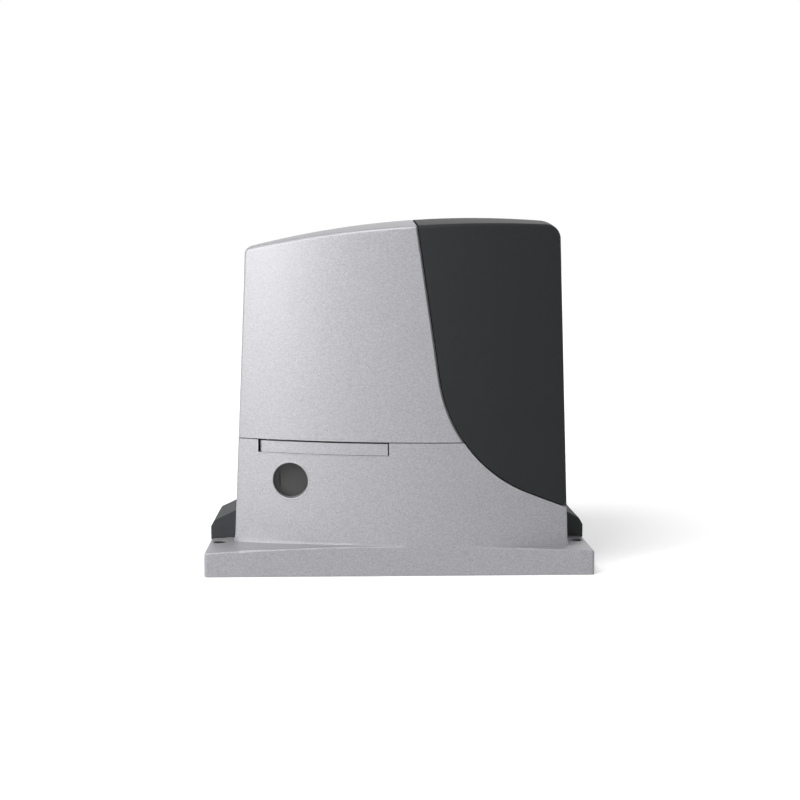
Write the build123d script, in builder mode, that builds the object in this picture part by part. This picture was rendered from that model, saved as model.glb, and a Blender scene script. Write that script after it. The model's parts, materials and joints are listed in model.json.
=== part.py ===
from build123d import *
from math import atan2, cos, degrees, pi, radians, sin, sqrt, tan
import os

os.makedirs("parts", exist_ok=True)

# Rack-drive operator for a sliding gate, in millimetres.
# X runs along the gate, Y from the open front to the rack side, Z up.
# The origin is on the foundation, under the middle of the whole operator.

# Base flange
flange_length = 330.0
flange_front = -105.0
flange_back = 62.0
flange_edge_height = 20.5
flange_crown_height = 25.5
flange_crown_rise = flange_crown_height - flange_edge_height
flange_corner = 3.0
flange_round = 2.0
flange_wall = 5.5
floor_top = 24.0
pocket_depth = 3.0
pocket_rib = 5.0
pocket_columns = 6
pocket_rows = 4
anchor_spacing_x = flange_length - 19.0
anchor_spacing_y = 82.0
anchor_front_y = -57.0
anchor_radius = 4.75
anchor_chamfer = 1.2
anchor_boss_radius = 9.0

# Housing, one tapered form shared by the casting and the cover
shelf_left = 22.5
shelf_right = 20.5
body_left = shelf_left - flange_length / 2
body_right = flange_length / 2 - shelf_right
body_back = 60.0
draft_left = 2.4
draft_right = 1.6
draft_front = 2.0
draft_back = 1.0
bow_radius = 354.0
bow_x = 34.0
loft_base = 20.0
loft_top = 330.0
crown_z = 303.0
crown_x = 67.0
crown_y = -10.0
roof_radius_across = 790.0
roof_radius_along = 506.0
round_right = 13.0
round_left = 6.0
round_rim = 3.5
casting_wall = 4.0
cover_wall = 3.0
seam_z = 112.0
seam_gap = 0.8
seal_inset = 0.9
skirt_rise = 3.0

# Two-colour split of the cover, drawn in front view and cut straight through along Y
split_corner_x = 43.8
split_corner_z = 95.3
split_lean = 8.24
split_fall = 22.0
split_round = 122.0
split_gap = 0.8
casting_split_gap = 1.1
split_bevel = 1.6
lip_width = 8.0
lip_thickness = 2.0
lip_gap = 0.3
spigot_height = 7.0
spigot_thickness = 2.0
spigot_gap = 0.4

# Output shaft line, along Y
shaft_z = 77.0
wheel_front = 2.0
wheel_face = 20.0
worm_module = 2.5
wheel_teeth = 30
worm_pitch_radius = 11.0
mesh_backlash = 0.5
wheel_bore = 14.0
shoulder_radius = 17.0
rear_bearing_front = 36.0
rear_bearing_width = 15.0
rear_bearing_radius = 26.0
rear_journal = 12.5
front_bearing_width = 12.0
front_bearing_radius = 21.0
front_journal = 10.0
race_thickness = 4.0
hex_flats = 24.0
pinion_module = 4.0
pinion_teeth = 15
pinion_front = 70.0
pinion_face = 28.0
pinion_bore = 11.0
key_width = 6.0
key_height = 6.0
key_length = 22.0
washer_thickness = 3.0
washer_radius = 15.0
retainer_head_radius = 7.0
retainer_head_height = 4.0
retainer_shank = 4.0
retainer_depth = 20.0
seal_front = 58.0
seal_width = 7.0
seal_radius = 20.0

# Gear case, cast in one with the base
case_radius = 42.0
case_wall = 5.0
case_front = -30.0
case_back = 34.0
case_end = 50.0
boss_radius = 33.0
boss_end = 66.0
case_cover_thickness = 6.0
case_gasket = 1.0
case_screw_count = 6
case_screw_circle = 48.5
case_ear_radius = 6.0
case_ear_depth = 18.0
case_screw_radius = 2.5
case_screw_angle = 0.0

# Worm line, upright
worm_y = wheel_front + wheel_face / 2
worm_x = worm_pitch_radius + worm_module * wheel_teeth / 2
worm_turns = 6
worm_bearing_radius = 14.0
worm_bearing_width = 8.0
worm_journal = 6.0
worm_race_thickness = 3.0
worm_lower_bearing = 34.0
worm_upper_bearing = 112.0
chamber_wall = 5.5
chamber_top = 124.0

# Motor, standing on the gear case
motor_radius = 35.0
motor_wall = 3.0
motor_length = 104.0
motor_plate = 4.0
motor_cap_height = 12.0
motor_ear_offset = 41.0
motor_ear_radius = 7.0
motor_ear_thickness = 6.0
motor_screw_radius = 3.0
armature_radius = 22.0
armature_length = 54.0
armature_slots = 10
air_gap = 1.0
commutator_radius = 11.0
commutator_length = 16.0
brush_width = 6.0
brush_length = 12.0
encoder_radius = 20.0
encoder_thickness = 1.5
encoder_slots = 12

# Release lever in its slot under the front seam
slot_left = -121.0
slot_right = -9.2
slot_bottom = 101.0
tray_wall = 4.0
slot_depth = 16.0
lever_depth = 14.0
lever_gap = 0.6
lever_pivot_x = -112.5
lever_pivot_inset = 6.6
lever_lobe = 6.7
lever_right = -10.2
lever_end_bevel = 2.8
lever_pin_radius = 2.0
fork_rod_x = -24.0
fork_rod_z = 105.0
fork_rod_radius = 3.0

# Dog clutch between the worm wheel and the shaft
ring_front = -16.0
ring_length = 16.0
ring_radius = 22.0
groove_radius = 17.0
groove_front = -12.0
groove_width = 6.0
dog_inner = 17.0
dog_outer = 21.0
dog_depth = 5.0
dog_count = 4
dog_angle = 30.0

# Lock below the lever
lock_x = -93.0
lock_z = 78.0
lock_hole_radius = 15.4
collar_wall = 2.6
shutter_front = -67.5
shutter_thickness = 2.0
shutter_radius = 16.6
lock_plate_thickness = 4.0
lock_plate_left = -128.0
lock_plate_right = -43.0
lock_body_radius = 14.0
lock_body_length = 26.0
barrel_radius = 9.0

# Limit switch on the gear case, behind the cover's notch
switch_width = 40.0
switch_bottom = 124.0
switch_height = 30.0
switch_front = 38.0
switch_back = 72.0
switch_gap = 2.5
switch_slot_height = 9.0
switch_slot_depth = 14.0
switch_slot_width = 26.0
limit_pivot_y = 64.5
limit_rod_radius = 2.0
limit_spring_radius = 4.0
limit_hub_radius = 4.5
limit_tip_radius = 3.0

# Small clearances
running_gap = 0.05
rest_gap = 0.3


def side_x(z, side):
    """X of the tapered side wall at height z, left (-1) or right (+1)."""
    rise = z - loft_base
    if side < 0:
        return body_left + rise * tan(radians(draft_left))
    return body_right - rise * tan(radians(draft_right))


def front_y(x, z):
    """Y of the bowed front wall at x and height z."""
    apex = flange_front + (z - loft_base) * tan(radians(draft_front))
    return apex + bow_radius - sqrt(bow_radius**2 - (x - bow_x) ** 2)


def plan(z, inset=0.0):
    """Plan section of the housing at height z, drawn in by inset."""
    left, right = side_x(z, -1), side_x(z, 1)
    back = body_back - (z - loft_base) * tan(radians(draft_back))
    with BuildSketch(Plane.XY.offset(z)) as section:
        with BuildLine():
            Polyline((left, front_y(left, z)), (left, back), (right, back), (right, front_y(right, z)))
            ThreePointArc(
                (right, front_y(right, z)), (bow_x, front_y(bow_x, z)), (left, front_y(left, z))
            )
        make_face()
        if inset:
            offset(amount=-inset, kind=Kind.INTERSECTION, mode=Mode.REPLACE)
    return section.sketch


def roof_form(inset=0.0):
    """Everything under the doubly crowned roof: an arc across, turned about an axis along X."""
    axis_z = crown_z - roof_radius_along
    radius = roof_radius_across - inset
    centre = 2 * axis_z - (crown_z - roof_radius_across)
    reach = flange_length
    left = centre - sqrt(radius**2 - (reach + crown_x) ** 2)
    right = centre - sqrt(radius**2 - (reach - crown_x) ** 2)
    core = axis_z - crown_z / 3
    with BuildPart() as form:
        with BuildSketch(Plane.XZ.offset(-crown_y)):
            with BuildLine():
                ThreePointArc((-reach, left), (crown_x, centre - radius), (reach, right))
                Polyline((reach, right), (reach, core), (-reach, core), (-reach, left))
            make_face()
        revolve(axis=Axis((0, crown_y, axis_z), (1, 0, 0)))
    return form.part


def housing_form(inset=0.0, inset_top=0.0):
    """The whole housing as one solid, drawn in by inset at the walls and inset_top at the roof."""
    with BuildPart() as form:
        loft([plan(loft_base, inset), plan(loft_top, inset)], ruled=True)
        add(roof_form(inset_top), mode=Mode.INTERSECT)
        for side, rounding in ((1, round_right), (-1, round_left)):
            top = form.faces().sort_by(Axis.Z)[-1]
            edge = top.edges().sort_by(Axis.X)[-1 if side > 0 else 0]
            fillet(edge, max(rounding - inset, rounding / 4))
        for end in (0, -1):
            rim = form.faces().sort_by(Axis.Y)[end].edges()
            fillet(rim.filter_by(lambda e: e.center().Z > loft_base + 1), max(round_rim - inset, 0.7))
    return form.part


def split_side(shift, right_side):
    """Cutter for one side of the split curve, moved by shift towards the charcoal side."""
    lean, fall = radians(split_lean), radians(split_fall)
    up_normal = (cos(lean), sin(lean))
    low_normal = (sin(fall), cos(fall))
    scale = up_normal[0] * low_normal[1] - up_normal[1] * low_normal[0]
    corner_x = split_corner_x + shift * (low_normal[1] - up_normal[1]) / scale
    corner_z = split_corner_z + shift * (up_normal[0] - low_normal[0]) / scale
    far = flange_length * 1.2
    top = (corner_x - (far - corner_z) * tan(lean), far)
    end = (far, corner_z - (far - corner_x) * tan(fall))
    with BuildPart() as cutter:
        with BuildSketch(Plane.XZ.offset(far / 2)):
            with BuildLine():
                FilletPolyline(top, (corner_x, corner_z), end, radius=split_round - shift)
                if right_side:
                    Polyline(end, (far, far), top)
                else:
                    Polyline(end, (far, -far), (-far, -far), (-far, far), top)
            make_face()
        extrude(amount=-far)
    return cutter.part


def slab(x_range, y_range, z_range):
    """Plain block between two corners, for trimming."""
    with BuildPart() as block:
        with BuildSketch(Plane.XY.offset(z_range[0])):
            with Locations(((x_range[0] + x_range[1]) / 2, (y_range[0] + y_range[1]) / 2)):
                Rectangle(x_range[1] - x_range[0], y_range[1] - y_range[0])
        extrude(amount=z_range[1] - z_range[0])
    return block.part


def rod(x, z, radius, y_start, y_end, inner=0.0):
    """Round bar or tube along Y."""
    with BuildPart() as bar:
        with BuildSketch(Plane.XZ.offset(-y_start)):
            with Locations((x, z)):
                Circle(radius)
                if inner:
                    Circle(inner, mode=Mode.SUBTRACT)
        extrude(amount=-(y_end - y_start))
    return bar.part


def post(x, y, radius, z_start, z_end, inner=0.0):
    """Round bar or tube along Z."""
    with BuildPart() as bar:
        with BuildSketch(Plane.XY.offset(z_start)):
            with Locations((x, y)):
                Circle(radius)
                if inner:
                    Circle(inner, mode=Mode.SUBTRACT)
        extrude(amount=z_end - z_start)
    return bar.part


far_x = (-flange_length, flange_length)
far_y = (-flange_length, flange_length)
outer_form = housing_form()
cover_inner = housing_form(cover_wall, cover_wall)
casting_inner = housing_form(casting_wall, casting_wall)

# Base casting
wall_side = split_side(-casting_split_gap / 2, False)
motor_ears = [(worm_x - motor_ear_offset, worm_y), (worm_x + motor_ear_offset, worm_y)]
case_angles = [case_screw_angle + 360 / case_screw_count * i for i in range(case_screw_count)]
case_screws_at = [
    (case_screw_circle * cos(radians(a)), shaft_z + case_screw_circle * sin(radians(a)))
    for a in case_angles
]
anchor_points = [
    (side * anchor_spacing_x / 2, anchor_front_y + row * anchor_spacing_y)
    for side in (-1, 1)
    for row in (0, 1)
]
spigot_inset = cover_wall + spigot_gap
lever_pivot_y = front_y(lever_pivot_x, seam_z) + lever_pivot_inset
tray_bottom = slot_bottom - tray_wall
lock_plate_front = shutter_front + shutter_thickness + rest_gap
lock_plate_back = lock_plate_front + lock_plate_thickness
grommet_x, grommet_y, grommet_radius = body_right - 40.5, 8.0, 16.0
transformer_x, transformer_y = -97.0, 14.0
transformer_radius, transformer_hole, transformer_height = 37.0, 13.0, 40.0
pad_thickness = 2.0
cover_screw_x, cover_screw_z, cover_screw_radius = -108.0, 121.0, 2.5
lug_depth, lug_width, lug_height = 7.0, 14.0, 29.0
cover_back_y = body_back - (cover_screw_z - loft_base) * tan(radians(draft_back))
lug_back = cover_back_y - cover_wall - spigot_gap
lug_bottom = seam_z - 2 * spigot_height

with BuildPart() as flange_form:
    with BuildSketch(Plane.XZ.offset(-flange_front)):
        half = flange_length / 2
        with BuildLine():
            Polyline((-half, flange_edge_height), (-half, 0), (half, 0), (half, flange_edge_height))
            ThreePointArc((half, flange_edge_height), (0, flange_crown_height), (-half, flange_edge_height))
        make_face()
    extrude(amount=-(flange_back - flange_front))
    fillet(flange_form.edges().filter_by(Axis.Z), flange_corner)
    fillet(flange_form.faces().sort_by(Axis.Z)[-1].edges(), flange_round)

with BuildPart() as skirt_form:
    loft([plan(loft_base, -skirt_rise), plan(flange_crown_height + skirt_rise, skirt_rise / 6)], ruled=True)
    add(slab(far_x, (flange_front, body_back), (loft_base, seam_z)), mode=Mode.INTERSECT)

with BuildPart() as base_casting:
    add(flange_form.part)
    add(skirt_form.part)
    # Outer walls up to the seam and the split curve
    with BuildPart(mode=Mode.PRIVATE) as walls:
        add(outer_form)
        add(slab(far_x, far_y, (loft_base, seam_z)), mode=Mode.INTERSECT)
        add(wall_side, mode=Mode.INTERSECT)
    add(walls.part)
    with BuildPart(mode=Mode.PRIVATE) as hollow:
        add(casting_inner)
        add(slab(far_x, far_y, (floor_top, crown_z)), mode=Mode.INTERSECT)
    add(hollow.part, mode=Mode.SUBTRACT)
    # Locating lip inside the cover
    with BuildPart(mode=Mode.PRIVATE) as spigot:
        add(housing_form(spigot_inset, spigot_inset))
        add(
            housing_form(spigot_inset + spigot_thickness, spigot_inset + spigot_thickness),
            mode=Mode.SUBTRACT,
        )
        add(slab(far_x, far_y, (seam_z - spigot_height, seam_z + spigot_height)), mode=Mode.INTERSECT)
        add(split_side(-split_gap - lip_width / 4, False), mode=Mode.INTERSECT)
    add(spigot.part)
    # Shelf for the release lever, following the bowed front
    with BuildPart(mode=Mode.PRIVATE) as tray:
        add(outer_form)
        add(
            slab((slot_left - tray_wall, slot_right + tray_wall), far_y, (tray_bottom, seam_z)),
            mode=Mode.INTERSECT,
        )
        add(slab(far_x, (0, body_back * 2), (loft_base, crown_z)), mode=Mode.SUBTRACT)
        extrude(plan(tray_bottom, slot_depth + tray_wall), amount=seam_z, mode=Mode.SUBTRACT)
    add(tray.part)
    # Lock plate across the left bay
    with BuildPart(mode=Mode.PRIVATE) as lock_plate:
        add(outer_form)
        add(
            slab(
                (lock_plate_left, lock_plate_right),
                (lock_plate_front, lock_plate_back),
                (floor_top, tray_bottom),
            ),
            mode=Mode.INTERSECT,
        )
    add(lock_plate.part)
    # Well around the lock opening
    with BuildPart(mode=Mode.PRIVATE) as collar:
        add(outer_form)
        add(
            rod(lock_x, lock_z, lock_hole_radius + collar_wall, flange_front, shutter_front - rest_gap),
            mode=Mode.INTERSECT,
        )
    add(collar.part)
    # Gear case: wheel drum, worm tower and rear bearing boss
    add(rod(0, shaft_z, case_radius + case_wall, case_front, case_end))
    add(rod(0, shaft_z, boss_radius, case_back, boss_end))
    add(post(worm_x, worm_y, worm_bearing_radius + chamber_wall, floor_top, chamber_top))
    add(slab((-case_radius + 6, case_radius - 6), (case_front, case_end), (floor_top, shaft_z)))
    for x, z in case_screws_at:
        add(rod(x, z, case_ear_radius, case_front, case_front + case_ear_depth))
    with BuildSketch(Plane.XY.offset(chamber_top - motor_ear_thickness)):
        with BuildSketch(mode=Mode.PRIVATE) as ears:
            with Locations(*motor_ears):
                Circle(motor_ear_radius)
            with Locations((worm_x, worm_y)):
                Circle(motor_radius - 6)
        make_hull(ears.edges())
    extrude(amount=motor_ear_thickness)
    # Transformer seat and cover lugs
    add(post(transformer_x, transformer_y, transformer_hole - 3, floor_top, floor_top + 8))
    add(
        slab(
            (cover_screw_x - lug_width / 2, cover_screw_x + lug_width / 2),
            (lug_back - lug_depth, lug_back),
            (lug_bottom, lug_bottom + lug_height),
        )
    )
    add(
        slab(
            (cover_screw_x - cover_screw_radius - rest_gap, cover_screw_x + cover_screw_radius + rest_gap),
            (lug_back - lug_depth, lug_back),
            (cover_screw_z - cover_screw_radius - rest_gap, lug_bottom + lug_height),
        ),
        mode=Mode.SUBTRACT,
    )
    add(
        rod(cover_screw_x, cover_screw_z, cover_screw_radius + rest_gap, lug_back - lug_depth, body_back),
        mode=Mode.SUBTRACT,
    )
    # Pockets between the ribs under the base
    pocket_pitch_x = (flange_length - 2 * flange_wall + pocket_rib) / pocket_columns
    pocket_pitch_y = (flange_back - flange_front - 2 * flange_wall + pocket_rib) / pocket_rows
    with BuildSketch(Plane.XY):
        with Locations((0, (flange_front + flange_back) / 2)):
            with GridLocations(pocket_pitch_x, pocket_pitch_y, pocket_columns, pocket_rows):
                Rectangle(pocket_pitch_x - pocket_rib, pocket_pitch_y - pocket_rib)
        with Locations(*anchor_points):
            Circle(anchor_boss_radius, mode=Mode.SUBTRACT)
        with Locations((grommet_x, grommet_y)):
            Circle(grommet_radius + pocket_rib, mode=Mode.SUBTRACT)
    extrude(amount=pocket_depth, mode=Mode.SUBTRACT)
    # Machined bores of the gear case
    add(rod(0, shaft_z, case_radius, case_front, case_back), mode=Mode.SUBTRACT)
    add(
        rod(0, shaft_z, rear_bearing_radius, case_back, rear_bearing_front + rear_bearing_width),
        mode=Mode.SUBTRACT,
    )
    add(rod(0, shaft_z, seal_radius - 3, case_back, boss_end), mode=Mode.SUBTRACT)
    add(rod(0, shaft_z, seal_radius, seal_front, boss_end), mode=Mode.SUBTRACT)
    add(post(worm_x, worm_y, worm_bearing_radius, worm_lower_bearing, chamber_top), mode=Mode.SUBTRACT)
    add(
        post(worm_x, worm_y, worm_journal + 1, worm_lower_bearing - 4, worm_lower_bearing),
        mode=Mode.SUBTRACT,
    )
    for x, z in case_screws_at:
        add(rod(x, z, case_screw_radius, case_front, case_front + case_ear_depth - 4), mode=Mode.SUBTRACT)
    for x, y in motor_ears:
        add(
            post(x, y, motor_screw_radius, chamber_top - motor_ear_thickness, chamber_top),
            mode=Mode.SUBTRACT,
        )
    # Lever slot, pivot bore, rod bore, lock bores and cable entry
    with BuildPart(mode=Mode.PRIVATE) as slot:
        add(slab((slot_left, slot_right), (flange_front * 2, 0), (slot_bottom, seam_z + spigot_height * 2)))
        extrude(plan(tray_bottom, slot_depth), amount=seam_z, mode=Mode.SUBTRACT)
        fillet(slot.edges().filter_by(Axis.Y).group_by(Axis.Z)[0], 1.2)
    add(slot.part, mode=Mode.SUBTRACT)
    add(
        post(lever_pivot_x, lever_pivot_y, lever_pin_radius, tray_bottom + 1, slot_bottom),
        mode=Mode.SUBTRACT,
    )
    add(
        rod(fork_rod_x, fork_rod_z, fork_rod_radius + rest_gap, flange_front + slot_depth / 2, 0),
        mode=Mode.SUBTRACT,
    )
    add(rod(lock_x, lock_z, lock_hole_radius, flange_front * 2, lock_plate_front), mode=Mode.SUBTRACT)
    add(rod(lock_x, lock_z, lock_body_radius, lock_plate_front, lock_plate_back), mode=Mode.SUBTRACT)
    add(post(grommet_x, grommet_y, grommet_radius, 0, floor_top), mode=Mode.SUBTRACT)
    add(post(transformer_x, transformer_y, 3, floor_top, floor_top + 8), mode=Mode.SUBTRACT)
    for x, y in anchor_points:
        add(post(x, y, anchor_radius, 0, flange_crown_height), mode=Mode.SUBTRACT)
        with Locations((x, y, flange_edge_height + (1 - (x * 2 / flange_length) ** 2) * flange_crown_rise)):
            Cone(
                anchor_radius,
                anchor_radius + 2 * anchor_chamfer,
                2 * anchor_chamfer,
                mode=Mode.SUBTRACT,
            )
base_casting.part.label = "base_casting"

export_step(base_casting.part, "parts/base_casting.step")

# Cover: silver shell and charcoal shell, joined by a lip behind the silver edge
cover_bottom = seam_z + seam_gap
lip_form = housing_form(cover_wall + lip_gap, cover_wall + lip_gap)
lip_inner = housing_form(cover_wall + lip_gap + lip_thickness, cover_wall + lip_gap + lip_thickness)
above_seam = slab(far_x, far_y, (cover_bottom, crown_z + 1))
above_spigot = slab(far_x, far_y, (seam_z + spigot_height + 1, crown_z + 1))
outer_skin = outer_form.shell()


def on_split_curve(face):
    """True for the cut faces along the split curve."""
    normal = face.normal_at()
    return abs(normal.Y) < 0.01 and normal.X > 0.3 and abs(normal.Z) > 0.1


with BuildPart() as silver_cover:
    add(outer_form)
    add(cover_inner, mode=Mode.SUBTRACT)
    add(above_seam, mode=Mode.INTERSECT)
    add(split_side(-split_gap / 2, False), mode=Mode.INTERSECT)
    # Bevel along the split, on the outer skin only
    split_edges = silver_cover.faces().filter_by(on_split_curve).edges()
    chamfer(
        split_edges.filter_by(lambda e: outer_skin.distance_to(Vertex(e @ 0.5)) < 0.01), split_bevel
    )
    # Notch over the limit switch, and holes for the rear screw
    add(
        slab(
            (-switch_width / 2 - switch_gap, switch_width / 2 + switch_gap),
            (0, body_back * 2),
            (seam_z, switch_bottom + switch_height + switch_gap),
        ),
        mode=Mode.SUBTRACT,
    )
    add(
        rod(cover_screw_x, cover_screw_z, cover_screw_radius + rest_gap, 0, body_back * 2),
        mode=Mode.SUBTRACT,
    )
silver_cover.part.label = "silver_cover"
export_step(silver_cover.part, "parts/silver_cover.step")

with BuildPart() as charcoal_cover:
    add(outer_form)
    add(cover_inner, mode=Mode.SUBTRACT)
    with BuildPart(mode=Mode.PRIVATE) as charcoal_reach:
        add(split_side(split_gap / 2, True))
        add(slab(far_x, far_y, (loft_base + 1, cover_bottom)), mode=Mode.SUBTRACT)
        with BuildPart(mode=Mode.PRIVATE) as low_reach:
            add(split_side(casting_split_gap / 2, True))
            add(slab(far_x, far_y, (loft_base + 1, cover_bottom)), mode=Mode.INTERSECT)
        add(low_reach.part)
    add(charcoal_reach.part, mode=Mode.INTERSECT)
    # Thickened edge, and the lip that reaches behind the silver shell
    with BuildPart(mode=Mode.PRIVATE) as root:
        add(outer_form)
        add(lip_inner, mode=Mode.SUBTRACT)
        add(above_spigot, mode=Mode.INTERSECT)
        add(split_side(split_gap / 2, True), mode=Mode.INTERSECT)
        add(split_side(lip_width, False), mode=Mode.INTERSECT)
    with BuildPart(mode=Mode.PRIVATE) as lip:
        add(lip_form)
        add(lip_inner, mode=Mode.SUBTRACT)
        add(above_spigot, mode=Mode.INTERSECT)
        add(split_side(-lip_width, True), mode=Mode.INTERSECT)
        add(split_side(lip_width, False), mode=Mode.INTERSECT)
    add(root.part)
    add(lip.part)
charcoal_cover.part.label = "charcoal_cover"
export_step(charcoal_cover.part, "parts/charcoal_cover.step")

# Rubber strip on the casting's rim, under the cover
with BuildPart() as cover_seal:
    extrude(plan(seam_z, seal_inset), amount=seam_gap)
    extrude(plan(seam_z, cover_wall - rest_gap), amount=seam_gap, mode=Mode.SUBTRACT)
    add(split_side(-split_gap, False), mode=Mode.INTERSECT)
    add(
        slab((slot_left - 1, slot_right + 1), (flange_front * 2, 0), (seam_z - 1, seam_z + 2)),
        mode=Mode.SUBTRACT,
    )
    add(
        slab((-switch_width, switch_width), (body_back / 2, body_back * 2), (seam_z - 1, seam_z + 2)),
        mode=Mode.SUBTRACT,
    )
cover_seal.part.label = "cover_seal"
export_step(cover_seal.part, "parts/cover_seal.step")

# Screw through the back of the cover into the casting's open lug
head_seat = cover_back_y + 0.1
with BuildPart() as cover_screw:
    add(rod(cover_screw_x, cover_screw_z, cover_screw_radius * 2, head_seat, head_seat + 3))
    fillet(cover_screw.faces().sort_by(Axis.Y)[-1].edges(), 1)
    add(rod(cover_screw_x, cover_screw_z, cover_screw_radius, lug_back - lug_depth + 1, head_seat))
cover_screw.part.label = "cover_screw"
export_step(cover_screw.part, "parts/cover_screw.step")

# Caps over the rear anchor bolts
cap_front, cap_back, cap_wall = -37.0, 40.0, 2.5
cap_top_z, cap_knee_x, cap_knee_z, cap_side_z = 46.5, flange_length / 2 - 3.2, 37.0, 31.5
for side, name in ((-1, "left_foot_cap"), (1, "right_foot_cap")):
    foot = loft_base
    inner_low = side_x(foot, side) + side * rest_gap
    inner_top = side_x(cap_top_z, side) + side * rest_gap
    outer_x = side * flange_length / 2
    with BuildPart() as foot_cap:
        with BuildSketch(Plane.XZ.offset(-cap_front)):
            with BuildLine():
                Polyline(
                    (inner_low, foot),
                    (inner_top, cap_top_z),
                    (side * cap_knee_x, cap_knee_z),
                    (outer_x, cap_side_z),
                    (outer_x, foot),
                    close=True,
                )
            make_face()
        extrude(amount=-(cap_back - cap_front))
        fillet(foot_cap.edges().filter_by(Axis.Y).sort_by(Axis.Z)[-3:-1], 1.5)
        with BuildSketch(Plane.XZ.offset(-cap_front - cap_wall)):
            with BuildLine():
                Polyline(
                    (inner_low + side * cap_wall, foot),
                    (inner_top + side * cap_wall, cap_top_z - cap_wall * 1.7),
                    (side * (cap_knee_x - cap_wall / 2), cap_knee_z - cap_wall),
                    (outer_x - side * cap_wall, cap_side_z - cap_wall / 2),
                    (outer_x - side * cap_wall, foot),
                    close=True,
                )
            make_face()
        extrude(amount=-(cap_back - cap_front - 2 * cap_wall), mode=Mode.SUBTRACT)
        add(flange_form.part, mode=Mode.SUBTRACT)
        add(skirt_form.part, mode=Mode.SUBTRACT)
    foot_cap.part.label = name
    export_step(foot_cap.part, f"parts/{name}.step")

# Front wall of the gear case, with the front bearing cup
cover_y = case_front - case_gasket - case_cover_thickness
cup_front = case_front - case_gasket - front_bearing_width - 3
with BuildPart() as gear_case_gasket:
    with BuildSketch(Plane.XZ.offset(-(case_front - case_gasket))):
        with Locations((0, shaft_z)):
            Circle(case_radius + case_wall)
        with Locations(*case_screws_at):
            Circle(case_ear_radius)
        with Locations((0, shaft_z)):
            Circle(case_radius, mode=Mode.SUBTRACT)
        with Locations(*case_screws_at):
            Circle(case_screw_radius, mode=Mode.SUBTRACT)
    extrude(amount=-case_gasket)
gear_case_gasket.part.label = "gear_case_gasket"
export_step(gear_case_gasket.part, "parts/gear_case_gasket.step")

with BuildPart() as gear_case_cover:
    with BuildSketch(Plane.XZ.offset(-cover_y)):
        with Locations((0, shaft_z)):
            Circle(case_radius + case_wall)
        with Locations(*case_screws_at):
            Circle(case_ear_radius)
    extrude(amount=-case_cover_thickness)
    add(rod(0, shaft_z, front_bearing_radius + 4, cup_front, cover_y))
    # Ribs from the cup to the rim
    for i in range(case_screw_count):
        angle = case_screw_angle + 360 / case_screw_count * (i + 0.5)
        with BuildSketch(Plane.XZ.offset(-(cover_y - 4))):
            with Locations(Location((0, shaft_z), angle)):
                Rectangle(case_radius - 1, 3, align=(Align.MIN, Align.CENTER))
        extrude(amount=-4)
    add(
        rod(0, shaft_z, front_bearing_radius, cup_front + 3, case_front - case_gasket), mode=Mode.SUBTRACT
    )
    for x, z in case_screws_at:
        add(rod(x, z, case_screw_radius, cover_y, case_front), mode=Mode.SUBTRACT)
    add(rod(fork_rod_x, fork_rod_z, fork_rod_radius + running_gap, cup_front, case_front), mode=Mode.SUBTRACT)
gear_case_cover.part.label = "gear_case_cover"
export_step(gear_case_cover.part, "parts/gear_case_cover.step")

with BuildPart() as gear_case_screws:
    for x, z in case_screws_at:
        add(rod(x, z, case_screw_radius, cover_y, case_front + case_ear_depth - 6))
        add(rod(x, z, case_screw_radius * 1.8, cover_y - 5, cover_y, inner=case_screw_radius / 1.6))
        add(rod(x, z, case_screw_radius * 1.8, cover_y - 2, cover_y))
gear_case_screws.part.label = "gear_case_screws"
export_step(gear_case_screws.part, "parts/gear_case_screws.step")

# Bearings: outer races with their seals stay still, inner races turn with the shaft
front_bearing_front = case_front - case_gasket - front_bearing_width


def outer_race(radius, race, bore, width):
    """Half section of a sealed outer race, as radius against width."""
    return [
        (radius, 0),
        (radius, width),
        (radius - race, width),
        (radius - race, width - 1),
        (bore + race + rest_gap, width - 1),
        (bore + race + rest_gap, 1),
        (radius - race, 1),
        (radius - race, 0),
    ]


with BuildPart() as shaft_bearing_shells:
    for start, radius, bore, width in (
        (rear_bearing_front, rear_bearing_radius, rear_journal, rear_bearing_width),
        (front_bearing_front, front_bearing_radius, front_journal, front_bearing_width),
    ):
        with BuildSketch(Plane.XY.offset(shaft_z)):
            with BuildLine():
                Polyline(*[(r, start + w) for r, w in outer_race(radius, race_thickness, bore, width)], close=True)
            make_face()
        revolve(axis=Axis((0, 0, shaft_z), (0, 1, 0)))
shaft_bearing_shells.part.label = "shaft_bearing_shells"
export_step(shaft_bearing_shells.part, "parts/shaft_bearing_shells.step")

with BuildPart() as shaft_bearing_races:
    for start, bore, width in (
        (rear_bearing_front, rear_journal, rear_bearing_width),
        (front_bearing_front, front_journal, front_bearing_width),
    ):
        add(rod(0, shaft_z, bore + race_thickness, start, start + width, inner=bore))
shaft_bearing_races.part.label = "shaft_bearing_races"
export_step(shaft_bearing_races.part, "parts/shaft_bearing_races.step")

with BuildPart() as worm_bearing_shells:
    for start in (worm_lower_bearing, worm_upper_bearing):
        with BuildSketch(Plane.XZ.offset(-worm_y)):
            profile = outer_race(worm_bearing_radius, worm_race_thickness, worm_journal, worm_bearing_width)
            with BuildLine():
                Polyline(*[(worm_x + r, start + w) for r, w in profile], close=True)
            make_face()
        revolve(axis=Axis((worm_x, worm_y, 0), (0, 0, 1)))
worm_bearing_shells.part.label = "worm_bearing_shells"
export_step(worm_bearing_shells.part, "parts/worm_bearing_shells.step")

with BuildPart() as worm_bearing_races:
    for start in (worm_lower_bearing, worm_upper_bearing):
        add(
            post(
                worm_x,
                worm_y,
                worm_journal + worm_race_thickness,
                start,
                start + worm_bearing_width,
                inner=worm_journal,
            )
        )
worm_bearing_races.part.label = "worm_bearing_races"
export_step(worm_bearing_races.part, "parts/worm_bearing_races.step")

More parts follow.
